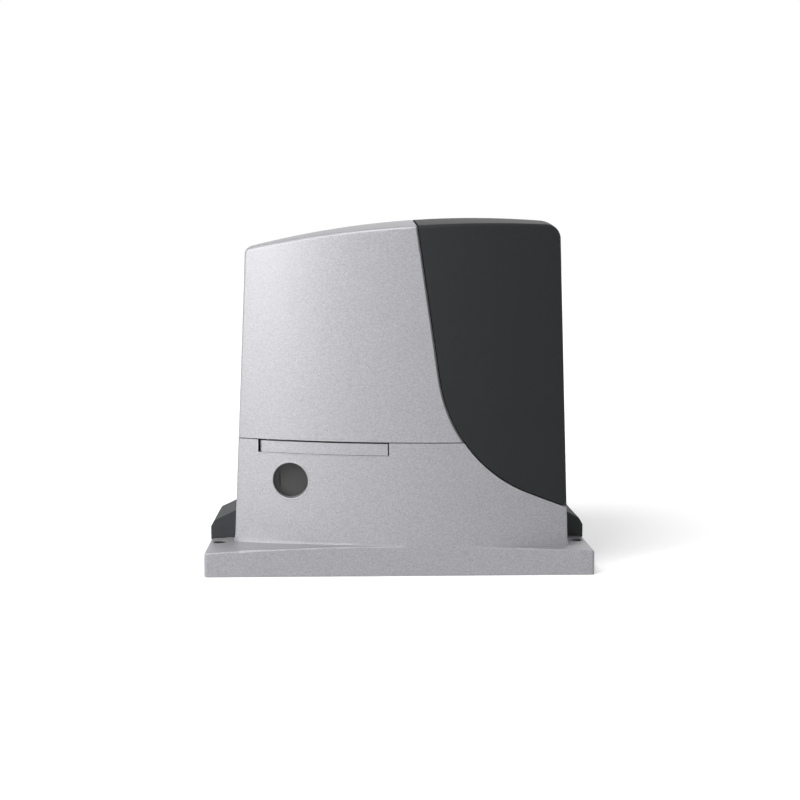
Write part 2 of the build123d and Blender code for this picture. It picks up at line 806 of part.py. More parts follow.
with BuildPart() as rear_shaft_seal:
    with BuildSketch(Plane.XY.offset(shaft_z)):
        with BuildLine():
            Polyline(
                (seal_radius, seal_front),
                (seal_radius, seal_front + seal_width),
                (rear_journal + 2, seal_front + seal_width),
                (rear_journal + running_gap, seal_front + seal_width - 2),
                (rear_journal + 2, seal_front + 3),
                (seal_radius - 3, seal_front + 3),
                (seal_radius - 3, seal_front),
                close=True,
            )
        make_face()
    revolve(axis=Axis((0, 0, shaft_z), (0, 1, 0)))
rear_shaft_seal.part.label = "rear_shaft_seal"
export_step(rear_shaft_seal.part, "parts/rear_shaft_seal.step")


# Gears
def involute(base, radius):
    """Point and polar angle of the involute of the base circle at a radius."""
    roll = sqrt(max((radius / base) ** 2 - 1, 0))
    return roll - atan2(roll, 1)


def tooth_outline(module, teeth, backlash, turn, sink=0.0):
    """One involute tooth as (x, z) points, turned by turn radians and sunk below the root circle by sink."""
    pitch = module * teeth / 2
    base = pitch * cos(radians(20))
    root, tip = pitch - module * 1.25, pitch + module
    half = pi / (2 * teeth) - backlash / (2 * pitch) + involute(base, pitch)
    radii = [base + (tip - base) * i / 3 for i in range(4)]
    flank = [(root - sink, half)] + [(r, half - involute(base, r)) for r in radii]
    polar = [(r, turn - a) for r, a in flank] + [(r, turn + a) for r, a in reversed(flank)]
    return [(r * cos(a), shaft_z + r * sin(a)) for r, a in polar]


worm_lead_angle = atan2(worm_module, 2 * worm_pitch_radius)
wheel_pitch_radius = worm_module * wheel_teeth / 2
wheel_twist = tan(worm_lead_angle) * wheel_face / 2 / wheel_pitch_radius
wheel_hub_radius = 26.0
wheel_web = 10.0
circlip_thickness = 1.5
tooth_sink = 1.0

with BuildPart() as worm_wheel:
    # Helical teeth: each one turns with the lead of the worm from face to face
    with BuildPart(mode=Mode.PRIVATE) as wheel_tooth:
        for end in (-1, 1):
            with BuildSketch(Plane.XZ.offset(-(worm_y + end * wheel_face / 2))):
                with BuildLine():
                    turn = -end * wheel_twist
                    Polyline(
                        *tooth_outline(worm_module, wheel_teeth, mesh_backlash, turn, tooth_sink), close=True
                    )
                make_face()
        loft(ruled=True)
    add(rod(0, shaft_z, wheel_pitch_radius - worm_module * 1.25, wheel_front, wheel_front + wheel_face))
    add(
        [
            wheel_tooth.part.rotate(Axis((0, 0, shaft_z), (0, 1, 0)), 360 / wheel_teeth * i)
            for i in range(wheel_teeth)
        ]
    )
    for start in (wheel_front, wheel_front + (wheel_face + wheel_web) / 2):
        add(
            rod(
                0,
                shaft_z,
                wheel_pitch_radius - worm_module * 2.4,
                start,
                start + (wheel_face - wheel_web) / 2,
                inner=wheel_hub_radius,
            ),
            mode=Mode.SUBTRACT,
        )
    add(rod(0, shaft_z, wheel_bore, wheel_front, wheel_front + wheel_face), mode=Mode.SUBTRACT)
    # Recess for the circlip, and sockets for the clutch dogs
    add(rod(0, shaft_z, dog_inner - 0.8, wheel_front, wheel_front + 3), mode=Mode.SUBTRACT)
    with BuildSketch(Plane.XZ.offset(-wheel_front)):
        for i in range(dog_count):
            with Locations((0, shaft_z)):
                with BuildSketch(mode=Mode.PRIVATE) as socket:
                    Circle(dog_outer + 0.5)
                    Circle(dog_inner - 0.8, mode=Mode.SUBTRACT)
                    slice_angle = radians(dog_angle / 2 + 2)
                    with BuildLine(mode=Mode.PRIVATE) as wedge:
                        reach = case_radius
                        Polyline(
                            (0, 0),
                            (reach * cos(slice_angle), reach * sin(slice_angle)),
                            (reach * cos(slice_angle), -reach * sin(slice_angle)),
                            close=True,
                        )
                    make_face(wedge.edges(), mode=Mode.INTERSECT)
            add(socket.sketch.rotate(Axis.Z, 360 / dog_count * i).moved(Location((0, shaft_z, 0))))
    extrude(amount=-(dog_depth + 0.5), mode=Mode.SUBTRACT)
worm_wheel.part.label = "worm_wheel"
export_step(worm_wheel.part, "parts/worm_wheel.step")

with BuildPart() as rack_pinion:
    with BuildSketch(Plane.XZ.offset(-(pinion_front + 2))):
        with BuildLine():
            points = []
            for i in range(pinion_teeth):
                points += tooth_outline(pinion_module, pinion_teeth, 0.2, pi / 2 + 2 * pi * i / pinion_teeth)
            Polyline(*points, close=True)
        make_face()
    extrude(amount=-(pinion_face - 2))
    add(rod(0, shaft_z, pinion_module * (pinion_teeth / 2 - 1.6), pinion_front, pinion_front + 2))
    add(rod(0, shaft_z, pinion_bore, pinion_front, pinion_front + pinion_face), mode=Mode.SUBTRACT)
    add(
        slab(
            (-key_width / 2, key_width / 2),
            (pinion_front, pinion_front + pinion_face),
            (shaft_z, shaft_z + pinion_bore + key_height * 0.45),
        ),
        mode=Mode.SUBTRACT,
    )
rack_pinion.part.label = "rack_pinion"
export_step(rack_pinion.part, "parts/rack_pinion.step")

key_start = pinion_front + (pinion_face - key_length) / 2
key_bottom = shaft_z + pinion_bore - key_height * 0.55
shaft_front = cup_front + 4
shaft_end = pinion_front + pinion_face
with BuildPart() as output_shaft:
    # Journals, wheel seat and shoulder as one turned profile
    with BuildSketch(Plane.XY.offset(shaft_z)):
        with BuildLine():
            Polyline(
                (0, shaft_front),
                (front_journal - 1, shaft_front),
                (front_journal, shaft_front + 1),
                (front_journal, case_front - case_gasket),
                (hex_flats / 2, case_front - case_gasket),
                (hex_flats / 2, wheel_front + 3),
                (wheel_bore, wheel_front + 3),
                (wheel_bore, wheel_front + wheel_face),
                (shoulder_radius, wheel_front + wheel_face),
                (shoulder_radius, rear_bearing_front),
                (rear_journal, rear_bearing_front),
                (rear_journal, pinion_front),
                (pinion_bore, pinion_front),
                (pinion_bore, shaft_end),
                (0, shaft_end),
                close=True,
            )
        make_face()
    revolve(axis=Axis((0, 0, shaft_z), (0, 1, 0)))
    # Hexagon that carries the clutch ring
    with BuildSketch(Plane.XZ.offset(-(case_front - case_gasket + 1))):
        with Locations((0, shaft_z)):
            RegularPolygon(hex_flats / 2, 6, major_radius=False)
    extrude(amount=-(wheel_front + 3 - case_front + case_gasket - 1))
    # Circlip groove in the wheel seat
    add(
        rod(0, shaft_z, wheel_bore + 1, wheel_front + 3, wheel_front + 3 + 0.001, inner=wheel_bore),
        mode=Mode.SUBTRACT,
    )
    add(
        slab(
            (-key_width / 2, key_width / 2),
            (key_start, key_start + key_length),
            (key_bottom, shaft_z + pinion_bore * 2),
        ),
        mode=Mode.SUBTRACT,
    )
    add(rod(0, shaft_z, retainer_shank, shaft_end - retainer_depth, shaft_end), mode=Mode.SUBTRACT)
output_shaft.part.label = "output_shaft"
export_step(output_shaft.part, "parts/output_shaft.step")

with BuildPart() as wheel_circlip:
    add(
        rod(
            0,
            shaft_z,
            dog_inner - 1.2,
            wheel_front + 3 - circlip_thickness,
            wheel_front + 3,
            inner=hex_flats / 2 / cos(pi / 6),
        )
    )
    add(
        slab((-3, 3), (wheel_front, wheel_front + 3), (shaft_z, shaft_z + wheel_hub_radius)),
        mode=Mode.SUBTRACT,
    )
wheel_circlip.part.label = "wheel_circlip"
export_step(wheel_circlip.part, "parts/wheel_circlip.step")

with BuildPart() as pinion_key:
    add(
        slab(
            (-key_width / 2, key_width / 2),
            (key_start, key_start + key_length),
            (key_bottom, key_bottom + key_height - 0.1),
        )
    )
pinion_key.part.label = "pinion_key"
export_step(pinion_key.part, "parts/pinion_key.step")

with BuildPart() as pinion_retainer:
    add(rod(0, shaft_z, washer_radius, shaft_end, shaft_end + washer_thickness))
    chamfer(pinion_retainer.edges(), 0.5)
    head_start = shaft_end + washer_thickness
    add(rod(0, shaft_z, retainer_head_radius, head_start, head_start + retainer_head_height))
    fillet(pinion_retainer.faces().sort_by(Axis.Y)[-1].edges(), 1.2)
    with BuildSketch(Plane.XZ.offset(-(head_start + retainer_head_height))):
        with Locations((0, shaft_z)):
            RegularPolygon(2.5, 6, major_radius=False)
    extrude(amount=2.5, mode=Mode.SUBTRACT)
    add(rod(0, shaft_z, retainer_shank, shaft_end - retainer_depth + 2, shaft_end))
pinion_retainer.part.label = "pinion_retainer"
export_step(pinion_retainer.part, "parts/pinion_retainer.step")

# Worm, one steel piece with the motor shaft
thread_pitch = pi * worm_module
worm_bottom = shaft_z - worm_turns / 2 * thread_pitch
worm_top = shaft_z + worm_turns / 2 * thread_pitch
thread_root = worm_pitch_radius - worm_module * 1.25
thread_height = worm_module * 2.25
pitch_thickness = thread_pitch / 2 - mesh_backlash
tip_half = pitch_thickness / 2 - worm_module * tan(radians(20))
root_half = pitch_thickness / 2 + worm_module * 1.25 * tan(radians(20))
motor_bottom = chamber_top
motor_top = motor_bottom + motor_length
rotor_top = motor_top + motor_cap_height + 8
with BuildPart() as worm_shaft:
    with BuildSketch(Plane.XZ.offset(-worm_y)):
        with BuildLine():
            Polyline(
                (worm_x, worm_lower_bearing - 2),
                (worm_x + worm_journal, worm_lower_bearing - 2),
                (worm_x + worm_journal, worm_lower_bearing + worm_bearing_width),
                (worm_x + thread_root - 1.5, worm_lower_bearing + worm_bearing_width),
                (worm_x + thread_root - 1.5, worm_bottom - 2),
                (worm_x + thread_root, worm_bottom - 2),
                (worm_x + thread_root, worm_top + 2),
                (worm_x + thread_root - 1.5, worm_top + 2),
                (worm_x + thread_root - 1.5, worm_upper_bearing),
                (worm_x + worm_journal, worm_upper_bearing),
                (worm_x + worm_journal, motor_bottom + motor_plate + 1),
                (worm_x + worm_journal - 1, motor_bottom + motor_plate + 1),
                (worm_x + worm_journal - 1, rotor_top),
                (worm_x, rotor_top),
                close=True,
            )
        make_face()
    revolve(axis=Axis((worm_x, worm_y, 0), (0, 0, 1)))
    with BuildLine() as thread_path:
        Helix(
            thread_pitch,
            worm_top - worm_bottom,
            thread_root - 0.2,
            center=(worm_x, worm_y, worm_bottom),
        )
    helix = thread_path.wires()[0]
    with BuildSketch(Plane(origin=helix @ 0, x_dir=(1, 0, 0), z_dir=helix % 0)):
        with BuildLine():
            Polyline(
                (0, -root_half),
                (thread_height + 0.2, -tip_half),
                (thread_height + 0.2, tip_half),
                (0, root_half),
                close=True,
            )
        make_face()
    sweep(path=helix, is_frenet=True)
worm_shaft.part.label = "worm_shaft"
export_step(worm_shaft.part, "parts/worm_shaft.step")

# Motor: armature, commutator and encoder disc on the worm shaft
core_bottom = motor_bottom + 12
core_top = core_bottom + armature_length
commutator_bottom = core_top + 8
shaft_above = worm_journal - 1
encoder_bottom = motor_top + motor_cap_height + 4
with BuildPart() as motor_armature:
    with BuildSketch(Plane.XY.offset(core_bottom)):
        with Locations((worm_x, worm_y)):
            Circle(armature_radius)
            with PolarLocations(armature_radius - 4, armature_slots):
                SlotOverall(9, 3, mode=Mode.SUBTRACT)
            Circle(shaft_above, mode=Mode.SUBTRACT)
    extrude(amount=armature_length)
    for start in (core_bottom - 6, core_top):
        add(post(worm_x, worm_y, armature_radius - 5, start, start + 6, inner=shaft_above))
motor_armature.part.label = "motor_armature"
export_step(motor_armature.part, "parts/motor_armature.step")

with BuildPart() as commutator:
    with BuildSketch(Plane.XY.offset(commutator_bottom)):
        with Locations((worm_x, worm_y)):
            Circle(commutator_radius)
            with PolarLocations(commutator_radius, armature_slots):
                Rectangle(2.4, 0.6, mode=Mode.SUBTRACT)
            Circle(shaft_above, mode=Mode.SUBTRACT)
    extrude(amount=commutator_length)
commutator.part.label = "commutator"
export_step(commutator.part, "parts/commutator.step")

with BuildPart() as encoder_disc:
    add(post(worm_x, worm_y, 9, encoder_bottom - 2.5, encoder_bottom, inner=shaft_above))
    with BuildSketch(Plane.XY.offset(encoder_bottom)):
        with Locations((worm_x, worm_y)):
            Circle(encoder_radius)
            with PolarLocations(encoder_radius - 3, encoder_slots):
                Rectangle(4, 3, mode=Mode.SUBTRACT)
            Circle(shaft_above, mode=Mode.SUBTRACT)
    extrude(amount=encoder_thickness)
encoder_disc.part.label = "encoder_disc"
export_step(encoder_disc.part, "parts/encoder_disc.step")

with BuildPart() as motor_can:
    with BuildSketch(Plane.XY.offset(motor_bottom)):
        with BuildSketch(mode=Mode.PRIVATE) as foot:
            with Locations(*motor_ears):
                Circle(motor_ear_radius)
            with Locations((worm_x, worm_y)):
                Circle(motor_radius - 6)
        make_hull(foot.edges())
    extrude(amount=motor_plate)
    add(post(worm_x, worm_y, motor_radius, motor_bottom, motor_top))
    add(
        post(worm_x, worm_y, motor_radius - motor_wall, motor_bottom + motor_plate, motor_top),
        mode=Mode.SUBTRACT,
    )
    add(post(worm_x, worm_y, worm_journal + 2, motor_bottom, motor_bottom + motor_plate), mode=Mode.SUBTRACT)
    for x, y in motor_ears:
        add(
            post(x, y, motor_screw_radius, motor_bottom, motor_bottom + motor_plate), mode=Mode.SUBTRACT
        )
motor_can.part.label = "motor_can"
export_step(motor_can.part, "parts/motor_can.step")

with BuildPart() as motor_magnets:
    with BuildSketch(Plane.XY.offset(core_bottom - 2)):
        with Locations((worm_x, worm_y)):
            Circle(motor_radius - motor_wall)
            Circle(armature_radius + air_gap, mode=Mode.SUBTRACT)
            with GridLocations(0, motor_radius * 2, 1, 2):
                Rectangle(motor_radius * 2, motor_radius * 1.3, mode=Mode.SUBTRACT)
    extrude(amount=armature_length + 4)
motor_magnets.part.label = "motor_magnets"
export_step(motor_magnets.part, "parts/motor_magnets.step")

with BuildPart() as motor_end_cap:
    with BuildSketch(Plane.XZ.offset(-worm_y)):
        inside = motor_radius - motor_wall
        with BuildLine():
            Polyline(
                (worm_x + shaft_above + running_gap, motor_top - 2),
                (worm_x + inside, motor_top - 2),
                (worm_x + inside, motor_top),
                (worm_x + motor_radius, motor_top),
                (worm_x + motor_radius, motor_top + 5),
                (worm_x + motor_radius - 6, motor_top + 8),
                (worm_x + 14, motor_top + 8),
                (worm_x + 10, motor_top + motor_cap_height),
                (worm_x + shaft_above + running_gap, motor_top + motor_cap_height),
                close=True,
            )
        make_face()
    revolve(axis=Axis((worm_x, worm_y, 0), (0, 0, 1)))
motor_end_cap.part.label = "motor_end_cap"
export_step(motor_end_cap.part, "parts/motor_end_cap.step")

brush_z = commutator_bottom + commutator_length / 2
with BuildPart() as motor_brushes:
    for side in (-1, 1):
        near = worm_x + side * (commutator_radius + running_gap)
        ends = sorted((near, near + side * brush_length))
        add(
            slab(
                ends,
                (worm_y - brush_width / 2, worm_y + brush_width / 2),
                (brush_z - brush_width / 2, brush_z + brush_width / 2),
            )
        )
motor_brushes.part.label = "motor_brushes"
export_step(motor_brushes.part, "parts/motor_brushes.step")

with BuildPart() as brush_holder:
    add(
        post(
            worm_x,
            worm_y,
            motor_radius - motor_wall,
            brush_z - brush_width / 2 - 3,
            brush_z - brush_width / 2,
            inner=commutator_radius + 2,
        )
    )
    for side in (-1, 1):
        near = worm_x + side * (commutator_radius + 3)
        ends = sorted((near, near + side * (brush_length + 4)))
        add(
            slab(
                ends,
                (worm_y - brush_width / 2 - 2, worm_y + brush_width / 2 + 2),
                (brush_z - brush_width / 2, brush_z + brush_width / 2 + 2),
            )
        )
        ends = sorted((worm_x, near + side * (brush_length + 2)))
        add(
            slab(
                ends,
                (worm_y - brush_width / 2, worm_y + brush_width / 2),
                (brush_z - brush_width / 2, brush_z + brush_width / 2),
            ),
            mode=Mode.SUBTRACT,
        )
brush_holder.part.label = "brush_holder"
export_step(brush_holder.part, "parts/brush_holder.step")

with BuildPart() as motor_screws:
    for x, y in motor_ears:
        screw_top = motor_bottom + motor_plate
        add(post(x, y, motor_screw_radius, motor_bottom - motor_ear_thickness, screw_top))
        add(post(x, y, motor_screw_radius * 1.7, screw_top, screw_top + 5))
motor_screws.part.label = "motor_screws"
export_step(motor_screws.part, "parts/motor_screws.step")

# Optical sensor over the rim of the encoder disc
sensor_x = worm_x - encoder_radius
with BuildPart() as encoder_sensor:
    add(
        slab(
            (sensor_x - 8, sensor_x + 5),
            (worm_y - 5, worm_y + 5),
            (motor_top + 8, encoder_bottom + encoder_thickness + 5),
        )
    )
    add(
        slab(
            (sensor_x - 2, sensor_x + 6),
            (worm_y - 6, worm_y + 6),
            (encoder_bottom - 1.5, encoder_bottom + encoder_thickness + 1.5),
        ),
        mode=Mode.SUBTRACT,
    )
encoder_sensor.part.label = "encoder_sensor"
export_step(encoder_sensor.part, "parts/encoder_sensor.step")

# Release lever: a bowed strip with a lobe round its upright pin
lever_bottom, lever_top = slot_bottom + lever_gap, seam_z - lever_gap
with BuildPart() as release_lever:
    add(outer_form)
    add(slab((lever_pivot_x, lever_right), far_y, (lever_bottom, lever_top)), mode=Mode.INTERSECT)
    add(slab(far_x, (0, body_back * 2), (lever_bottom, lever_top)), mode=Mode.SUBTRACT)
    extrude(plan(tray_bottom, lever_depth), amount=seam_z, mode=Mode.SUBTRACT)
    chamfer(
        release_lever.edges().filter_by(Axis.Z, tolerance=5).sort_by(Axis.X)[-2:].sort_by(Axis.Y)[0],
        lever_end_bevel,
    )
    with BuildPart(mode=Mode.PRIVATE) as lobe:
        add(outer_form)
        add(post(lever_pivot_x, lever_pivot_y, lever_lobe, lever_bottom, lever_top), mode=Mode.INTERSECT)
    add(lobe.part)
    add(
        post(lever_pivot_x, lever_pivot_y, lever_pin_radius + running_gap, lever_bottom, lever_top),
        mode=Mode.SUBTRACT,
    )
release_lever.part.label = "release_lever"
export_step(release_lever.part, "parts/release_lever.step")

with BuildPart() as lever_pin:
    add(post(lever_pivot_x, lever_pivot_y, lever_pin_radius, tray_bottom + 1, seam_z))
lever_pin.part.label = "lever_pin"
export_step(lever_pin.part, "parts/lever_pin.step")

# Clutch ring on the shaft's hexagon, and the fork that draws it off the wheel
with BuildPart() as clutch_ring:
    add(rod(0, shaft_z, ring_radius, ring_front, ring_front + ring_length))
    add(
        rod(0, shaft_z, ring_radius + 1, groove_front, groove_front + groove_width, inner=groove_radius),
        mode=Mode.SUBTRACT,
    )
    with BuildSketch(Plane.XZ.offset(-(ring_front + ring_length))):
        with Locations((0, shaft_z)):
            with PolarLocations((dog_inner + dog_outer) / 2, dog_count):
                Rectangle(dog_outer - dog_inner - 0.6, 2 * dog_inner * sin(radians(dog_angle / 2)))
    extrude(amount=-(wheel_front + dog_depth - ring_front - ring_length))
    with BuildSketch(Plane.XZ.offset(-ring_front)):
        with Locations((0, shaft_z)):
            RegularPolygon(hex_flats / 2 + running_gap, 6, major_radius=False)
    extrude(amount=-ring_length, mode=Mode.SUBTRACT)
clutch_ring.part.label = "clutch_ring"
export_step(clutch_ring.part, "parts/clutch_ring.step")

fork_thickness = groove_width - 0.6
fork_front = groove_front + 0.3
rod_tip = front_y(fork_rod_x, seam_z) + lever_depth * 1.12 + rest_gap
with BuildPart() as clutch_fork:
    with BuildSketch(Plane.XZ.offset(-fork_front)):
        with BuildSketch(mode=Mode.PRIVATE) as outline:
            with Locations((0, shaft_z)):
                Circle(ring_radius + 4)
            with Locations((fork_rod_x, fork_rod_z)):
                Circle(fork_rod_radius + 1.5)
        make_hull(outline.edges())
        with Locations((0, shaft_z)):
            Circle(groove_radius + 0.4, mode=Mode.SUBTRACT)
            with Locations((groove_radius * 0.75, -groove_radius * 0.75)):
                Rectangle(ring_radius * 3, groove_radius * 2 + 0.8, rotation=45, mode=Mode.SUBTRACT)
    extrude(amount=-fork_thickness)
    add(rod(fork_rod_x, fork_rod_z, fork_rod_radius, rod_tip, fork_front + fork_thickness))
clutch_fork.part.label = "clutch_fork"
export_step(clutch_fork.part, "parts/clutch_fork.step")

# Lock: sliding shutter, body and key barrel
with BuildPart() as lock_shutter:
    add(rod(lock_x, lock_z, shutter_radius, shutter_front, shutter_front + shutter_thickness))
    with BuildSketch(Plane.XZ.offset(-shutter_front)):
        with Locations((lock_x - 9.6, lock_z)):
            SlotOverall(13, 1.4, rotation=90)
    extrude(amount=-1, mode=Mode.SUBTRACT)
lock_shutter.part.label = "lock_shutter"
export_step(lock_shutter.part, "parts/lock_shutter.step")

with BuildPart() as lock_body:
    add(rod(lock_x, lock_z, lock_body_radius, lock_plate_front, lock_plate_front + lock_body_length))
    add(
        rod(
            lock_x,
            lock_z,
            barrel_radius + running_gap,
            lock_plate_front,
            lock_plate_front + lock_body_length,
        ),
        mode=Mode.SUBTRACT,
    )
    add(rod(lock_x, lock_z, lock_body_radius + 3, lock_plate_back, lock_plate_back + 3, inner=lock_body_radius))
lock_body.part.label = "lock_body"
export_step(lock_body.part, "parts/lock_body.step")

with BuildPart() as lock_barrel:
    barrel_front = lock_plate_front + 0.4
    barrel_back = lock_plate_front + lock_body_length
    add(rod(lock_x, lock_z, barrel_radius, barrel_front, barrel_back))
    with BuildSketch(Plane.XZ.offset(-barrel_front)):
        with Locations((lock_x, lock_z)):
            Rectangle(1.8, 9)
    extrude(amount=-12, mode=Mode.SUBTRACT)
    # Cam tongue behind the body
    with BuildSketch(Plane.XZ.offset(-(barrel_back + rest_gap))):
        with Locations((lock_x, lock_z)):
            SlotOverall(barrel_radius * 3.2, 8)
    extrude(amount=-3)
    add(rod(lock_x, lock_z, 4, barrel_back, barrel_back + rest_gap))
lock_barrel.part.label = "lock_barrel"
export_step(lock_barrel.part, "parts/lock_barrel.step")

# Limit switch box with its sprung arm, over the pinion
limit_z = switch_bottom + switch_height / 2
with BuildPart() as limit_switch_box:
    add(
        slab(
            (-switch_width / 2, switch_width / 2),
            (switch_front, switch_back),
            (switch_bottom, switch_bottom + switch_height),
        )
    )
    fillet(limit_switch_box.edges().filter_by(Axis.Y), 2.5)
    add(
        slab(
            (-switch_slot_width / 2, switch_slot_width / 2),
            (switch_back - switch_slot_depth, switch_back),
            (limit_z - switch_slot_height / 2, limit_z + switch_slot_height / 2),
        ),
        mode=Mode.SUBTRACT,
    )
limit_switch_box.part.label = "limit_switch_box"
export_step(limit_switch_box.part, "parts/limit_switch_box.step")

with BuildPart() as limit_arm:
    add(post(0, limit_pivot_y, limit_hub_radius, limit_z - 4, limit_z + 4))
    arm_end = -flange_front - limit_tip_radius
    add(rod(0, limit_z, limit_rod_radius, limit_pivot_y, arm_end))
    for i in range(5):
        coil = switch_back + 2 + i * 2 * limit_rod_radius
        add(rod(0, limit_z, limit_spring_radius, coil, coil + 2.4))
    with Locations((0, arm_end, limit_z)):
        Sphere(limit_tip_radius)
limit_arm.part.label = "limit_arm"
export_step(limit_arm.part, "parts/limit_arm.step")

# Control board on its carrier, behind the front wall
carrier_left, carrier_right = -104.0, 14.0
carrier_bottom, carrier_top = seam_z, 236.0
carrier_y, carrier_thickness = -46.0, 3.0
standoff = 4.0
board_thickness = 1.6
board_margin = 4.0
board_front = carrier_y - standoff - board_thickness
board_holes = [
    (x, z)
    for x in (carrier_left + 9, carrier_right - 9)
    for z in (carrier_bottom + 17, carrier_top - 9)
]
feet_x = (-80.0, -28.0)
foot_width, foot_thickness = 18.0, 3.0
with BuildPart() as board_carrier:
    add(
        slab(
            (carrier_left, carrier_right),
            (carrier_y, carrier_y + carrier_thickness),
            (carrier_bottom, carrier_top),
        )
    )
    # Stiffening ribs on the back
    for x in (carrier_left + 20, (carrier_left + carrier_right) / 2, carrier_right - 20):
        add(
            slab(
                (x - 1, x + 1),
                (carrier_y + carrier_thickness, carrier_y + carrier_thickness + 4),
                (carrier_bottom + 14, carrier_top - 6),
            )
        )
    for x, z in board_holes:
        add(rod(x, z, 3.5, carrier_y - standoff, carrier_y))
        add(rod(x, z, 1.5, carrier_y - standoff, carrier_y + carrier_thickness), mode=Mode.SUBTRACT)
    # Feet on the back wall of the lever shelf
    for x in feet_x:
        foot_front = front_y(x, seam_z) + slot_depth * 1.1
        add(
            slab(
                (x - foot_width / 2, x + foot_width / 2),
                (foot_front, carrier_y + carrier_thickness),
                (carrier_bottom, carrier_bottom + foot_thickness),
            )
        )
board_carrier.part.label = "board_carrier"
export_step(board_carrier.part, "parts/board_carrier.step")

with BuildPart() as control_board:
    add(
        slab(
            (carrier_left + board_margin, carrier_right - board_margin),
            (board_front, board_front + board_thickness),
            (carrier_bottom + 12, carrier_top - board_margin),
        )
    )
    for x, z in board_holes:
        add(rod(x, z, 1.5, board_front, board_front + board_thickness), mode=Mode.SUBTRACT)
control_board.part.label = "control_board"
export_step(control_board.part, "parts/control_board.step")

with BuildPart() as board_screws:
    for x, z in board_holes:
        add(rod(x, z, 2.8, board_front - 2, board_front))
        add(rod(x, z, 1.5, board_front, carrier_y + carrier_thickness))
board_screws.part.label = "board_screws"
export_step(board_screws.part, "parts/board_screws.step")

# Pluggable terminal blocks in a row along the lower edge of the board
terminal_count, terminal_pitch, terminal_depth, terminal_height = 6, 14.0, 10.0, 12.0
terminal_z = carrier_bottom + 27
with BuildPart() as terminal_blocks:
    for i in range(terminal_count):
        x = carrier_left + 18 + i * terminal_pitch
        add(
            slab(
                (x, x + terminal_pitch - 1.5),
                (board_front - terminal_depth, board_front),
                (terminal_z, terminal_z + terminal_height),
            )
        )
        for way in (-1, 0, 1):
            add(
                rod(
                    x + (terminal_pitch - 1.5) / 2 + way * 3.8,
                    terminal_z + terminal_height * 0.6,
                    1.3,
                    board_front - terminal_depth,
                    board_front - terminal_depth + 4,
                ),
                mode=Mode.SUBTRACT,
            )
terminal_blocks.part.label = "terminal_blocks"
export_step(terminal_blocks.part, "parts/terminal_blocks.step")

# Relays, smoothing capacitors, fuse block and heat sink
with BuildPart() as board_components:
    for x, z, width, depth, height in (
        (-88, 178, 16, 12, 20),
        (-68, 178, 16, 12, 20),
        (-88, 206, 26, 9, 10),
        (-46, 180, 22, 4, 22),
        (-14, 176, 9, 14, 30),
    ):
        add(slab((x, x + width), (board_front - depth, board_front), (z, z + height)))
    for x, z, radius, depth in ((-34, 210, 6, 15), (-50, 212, 6, 15)):
        add(rod(x, z, radius, board_front - depth, board_front))
board_components.part.label = "board_components"
export_step(board_components.part, "parts/board_components.step")

# Three push buttons for setting up, each in its own square base
button_radius, button_bore, button_base, button_height = 2.6, 2.75, 9.0, 5.0
button_travel = 1.0
button_z = carrier_top - 16
buttons = (("open_button", -18.0), ("close_button", -6.0))
with BuildPart() as button_bases:
    for name, x in buttons:
        add(
            slab(
                (x - button_base / 2, x + button_base / 2),
                (board_front - button_height, board_front),
                (button_z - button_base / 2, button_z + button_base / 2),
            )
        )
        add(rod(x, button_z, button_bore, board_front - button_height, board_front - 0.6), mode=Mode.SUBTRACT)
button_bases.part.label = "button_bases"
export_step(button_bases.part, "parts/button_bases.step")

for name, x in buttons:
    with BuildPart() as button:
        add(
            rod(
                x,
                button_z,
                button_radius,
                board_front - button_height - 2.5,
                board_front - 0.7 - button_travel,
            )
        )
        fillet(button.faces().sort_by(Axis.Y)[0].edges(), 0.6)
    button.part.label = name
    export_step(button.part, f"parts/{name}.step")

# Toroidal transformer between rubber pads, held by a dished disc and one bolt
with BuildPart() as mains_transformer:
    with BuildSketch(Plane.XZ.offset(-transformer_y)):
        low = floor_top + pad_thickness
        with Locations((transformer_x + (transformer_radius + transformer_hole) / 2, low + transformer_height / 2)):
            RectangleRounded(transformer_radius - transformer_hole, transformer_height, 7)
    revolve(axis=Axis((transformer_x, transformer_y, 0), (0, 0, 1)))
mains_transformer.part.label = "mains_transformer"
export_step(mains_transformer.part, "parts/mains_transformer.step")

pad_top = floor_top + pad_thickness + transformer_height
with BuildPart() as transformer_pads:
    for low in (floor_top, pad_top):
        add(
            post(
                transformer_x,
                transformer_y,
                transformer_radius - 8,
                low,
                low + pad_thickness,
                inner=transformer_hole,
            )
        )
transformer_pads.part.label = "transformer_pads"
export_step(transformer_pads.part, "parts/transformer_pads.step")

disc_z = pad_top + pad_thickness
with BuildPart() as transformer_clamp:
    with BuildSketch(Plane.XZ.offset(-transformer_y)):
        with BuildLine():
            Polyline(
                (transformer_x + 3, disc_z - 3),
                (transformer_x + transformer_hole - 4, disc_z - 3),
                (transformer_x + transformer_hole - 1, disc_z),
                (transformer_x + transformer_radius - 9, disc_z),
                (transformer_x + transformer_radius - 9, disc_z + 1.5),
                (transformer_x + transformer_hole - 1.5, disc_z + 1.5),
                (transformer_x + transformer_hole - 4.5, disc_z - 1.5),
                (transformer_x + 3, disc_z - 1.5),
                close=True,
            )
        make_face()
    revolve(axis=Axis((transformer_x, transformer_y, 0), (0, 0, 1)))
transformer_clamp.part.label = "transformer_clamp"
export_step(transformer_clamp.part, "parts/transformer_clamp.step")

with BuildPart() as transformer_bolt:
    add(post(transformer_x, transformer_y, 3, floor_top + 1, disc_z - 1.5))
    with BuildSketch(Plane.XY.offset(disc_z - 1.5)):
        with Locations((transformer_x, transformer_y)):
            RegularPolygon(5, 6, major_radius=False)
    extrude(amount=4)
transformer_bolt.part.label = "transformer_bolt"
export_step(transformer_bolt.part, "parts/transformer_bolt.step")

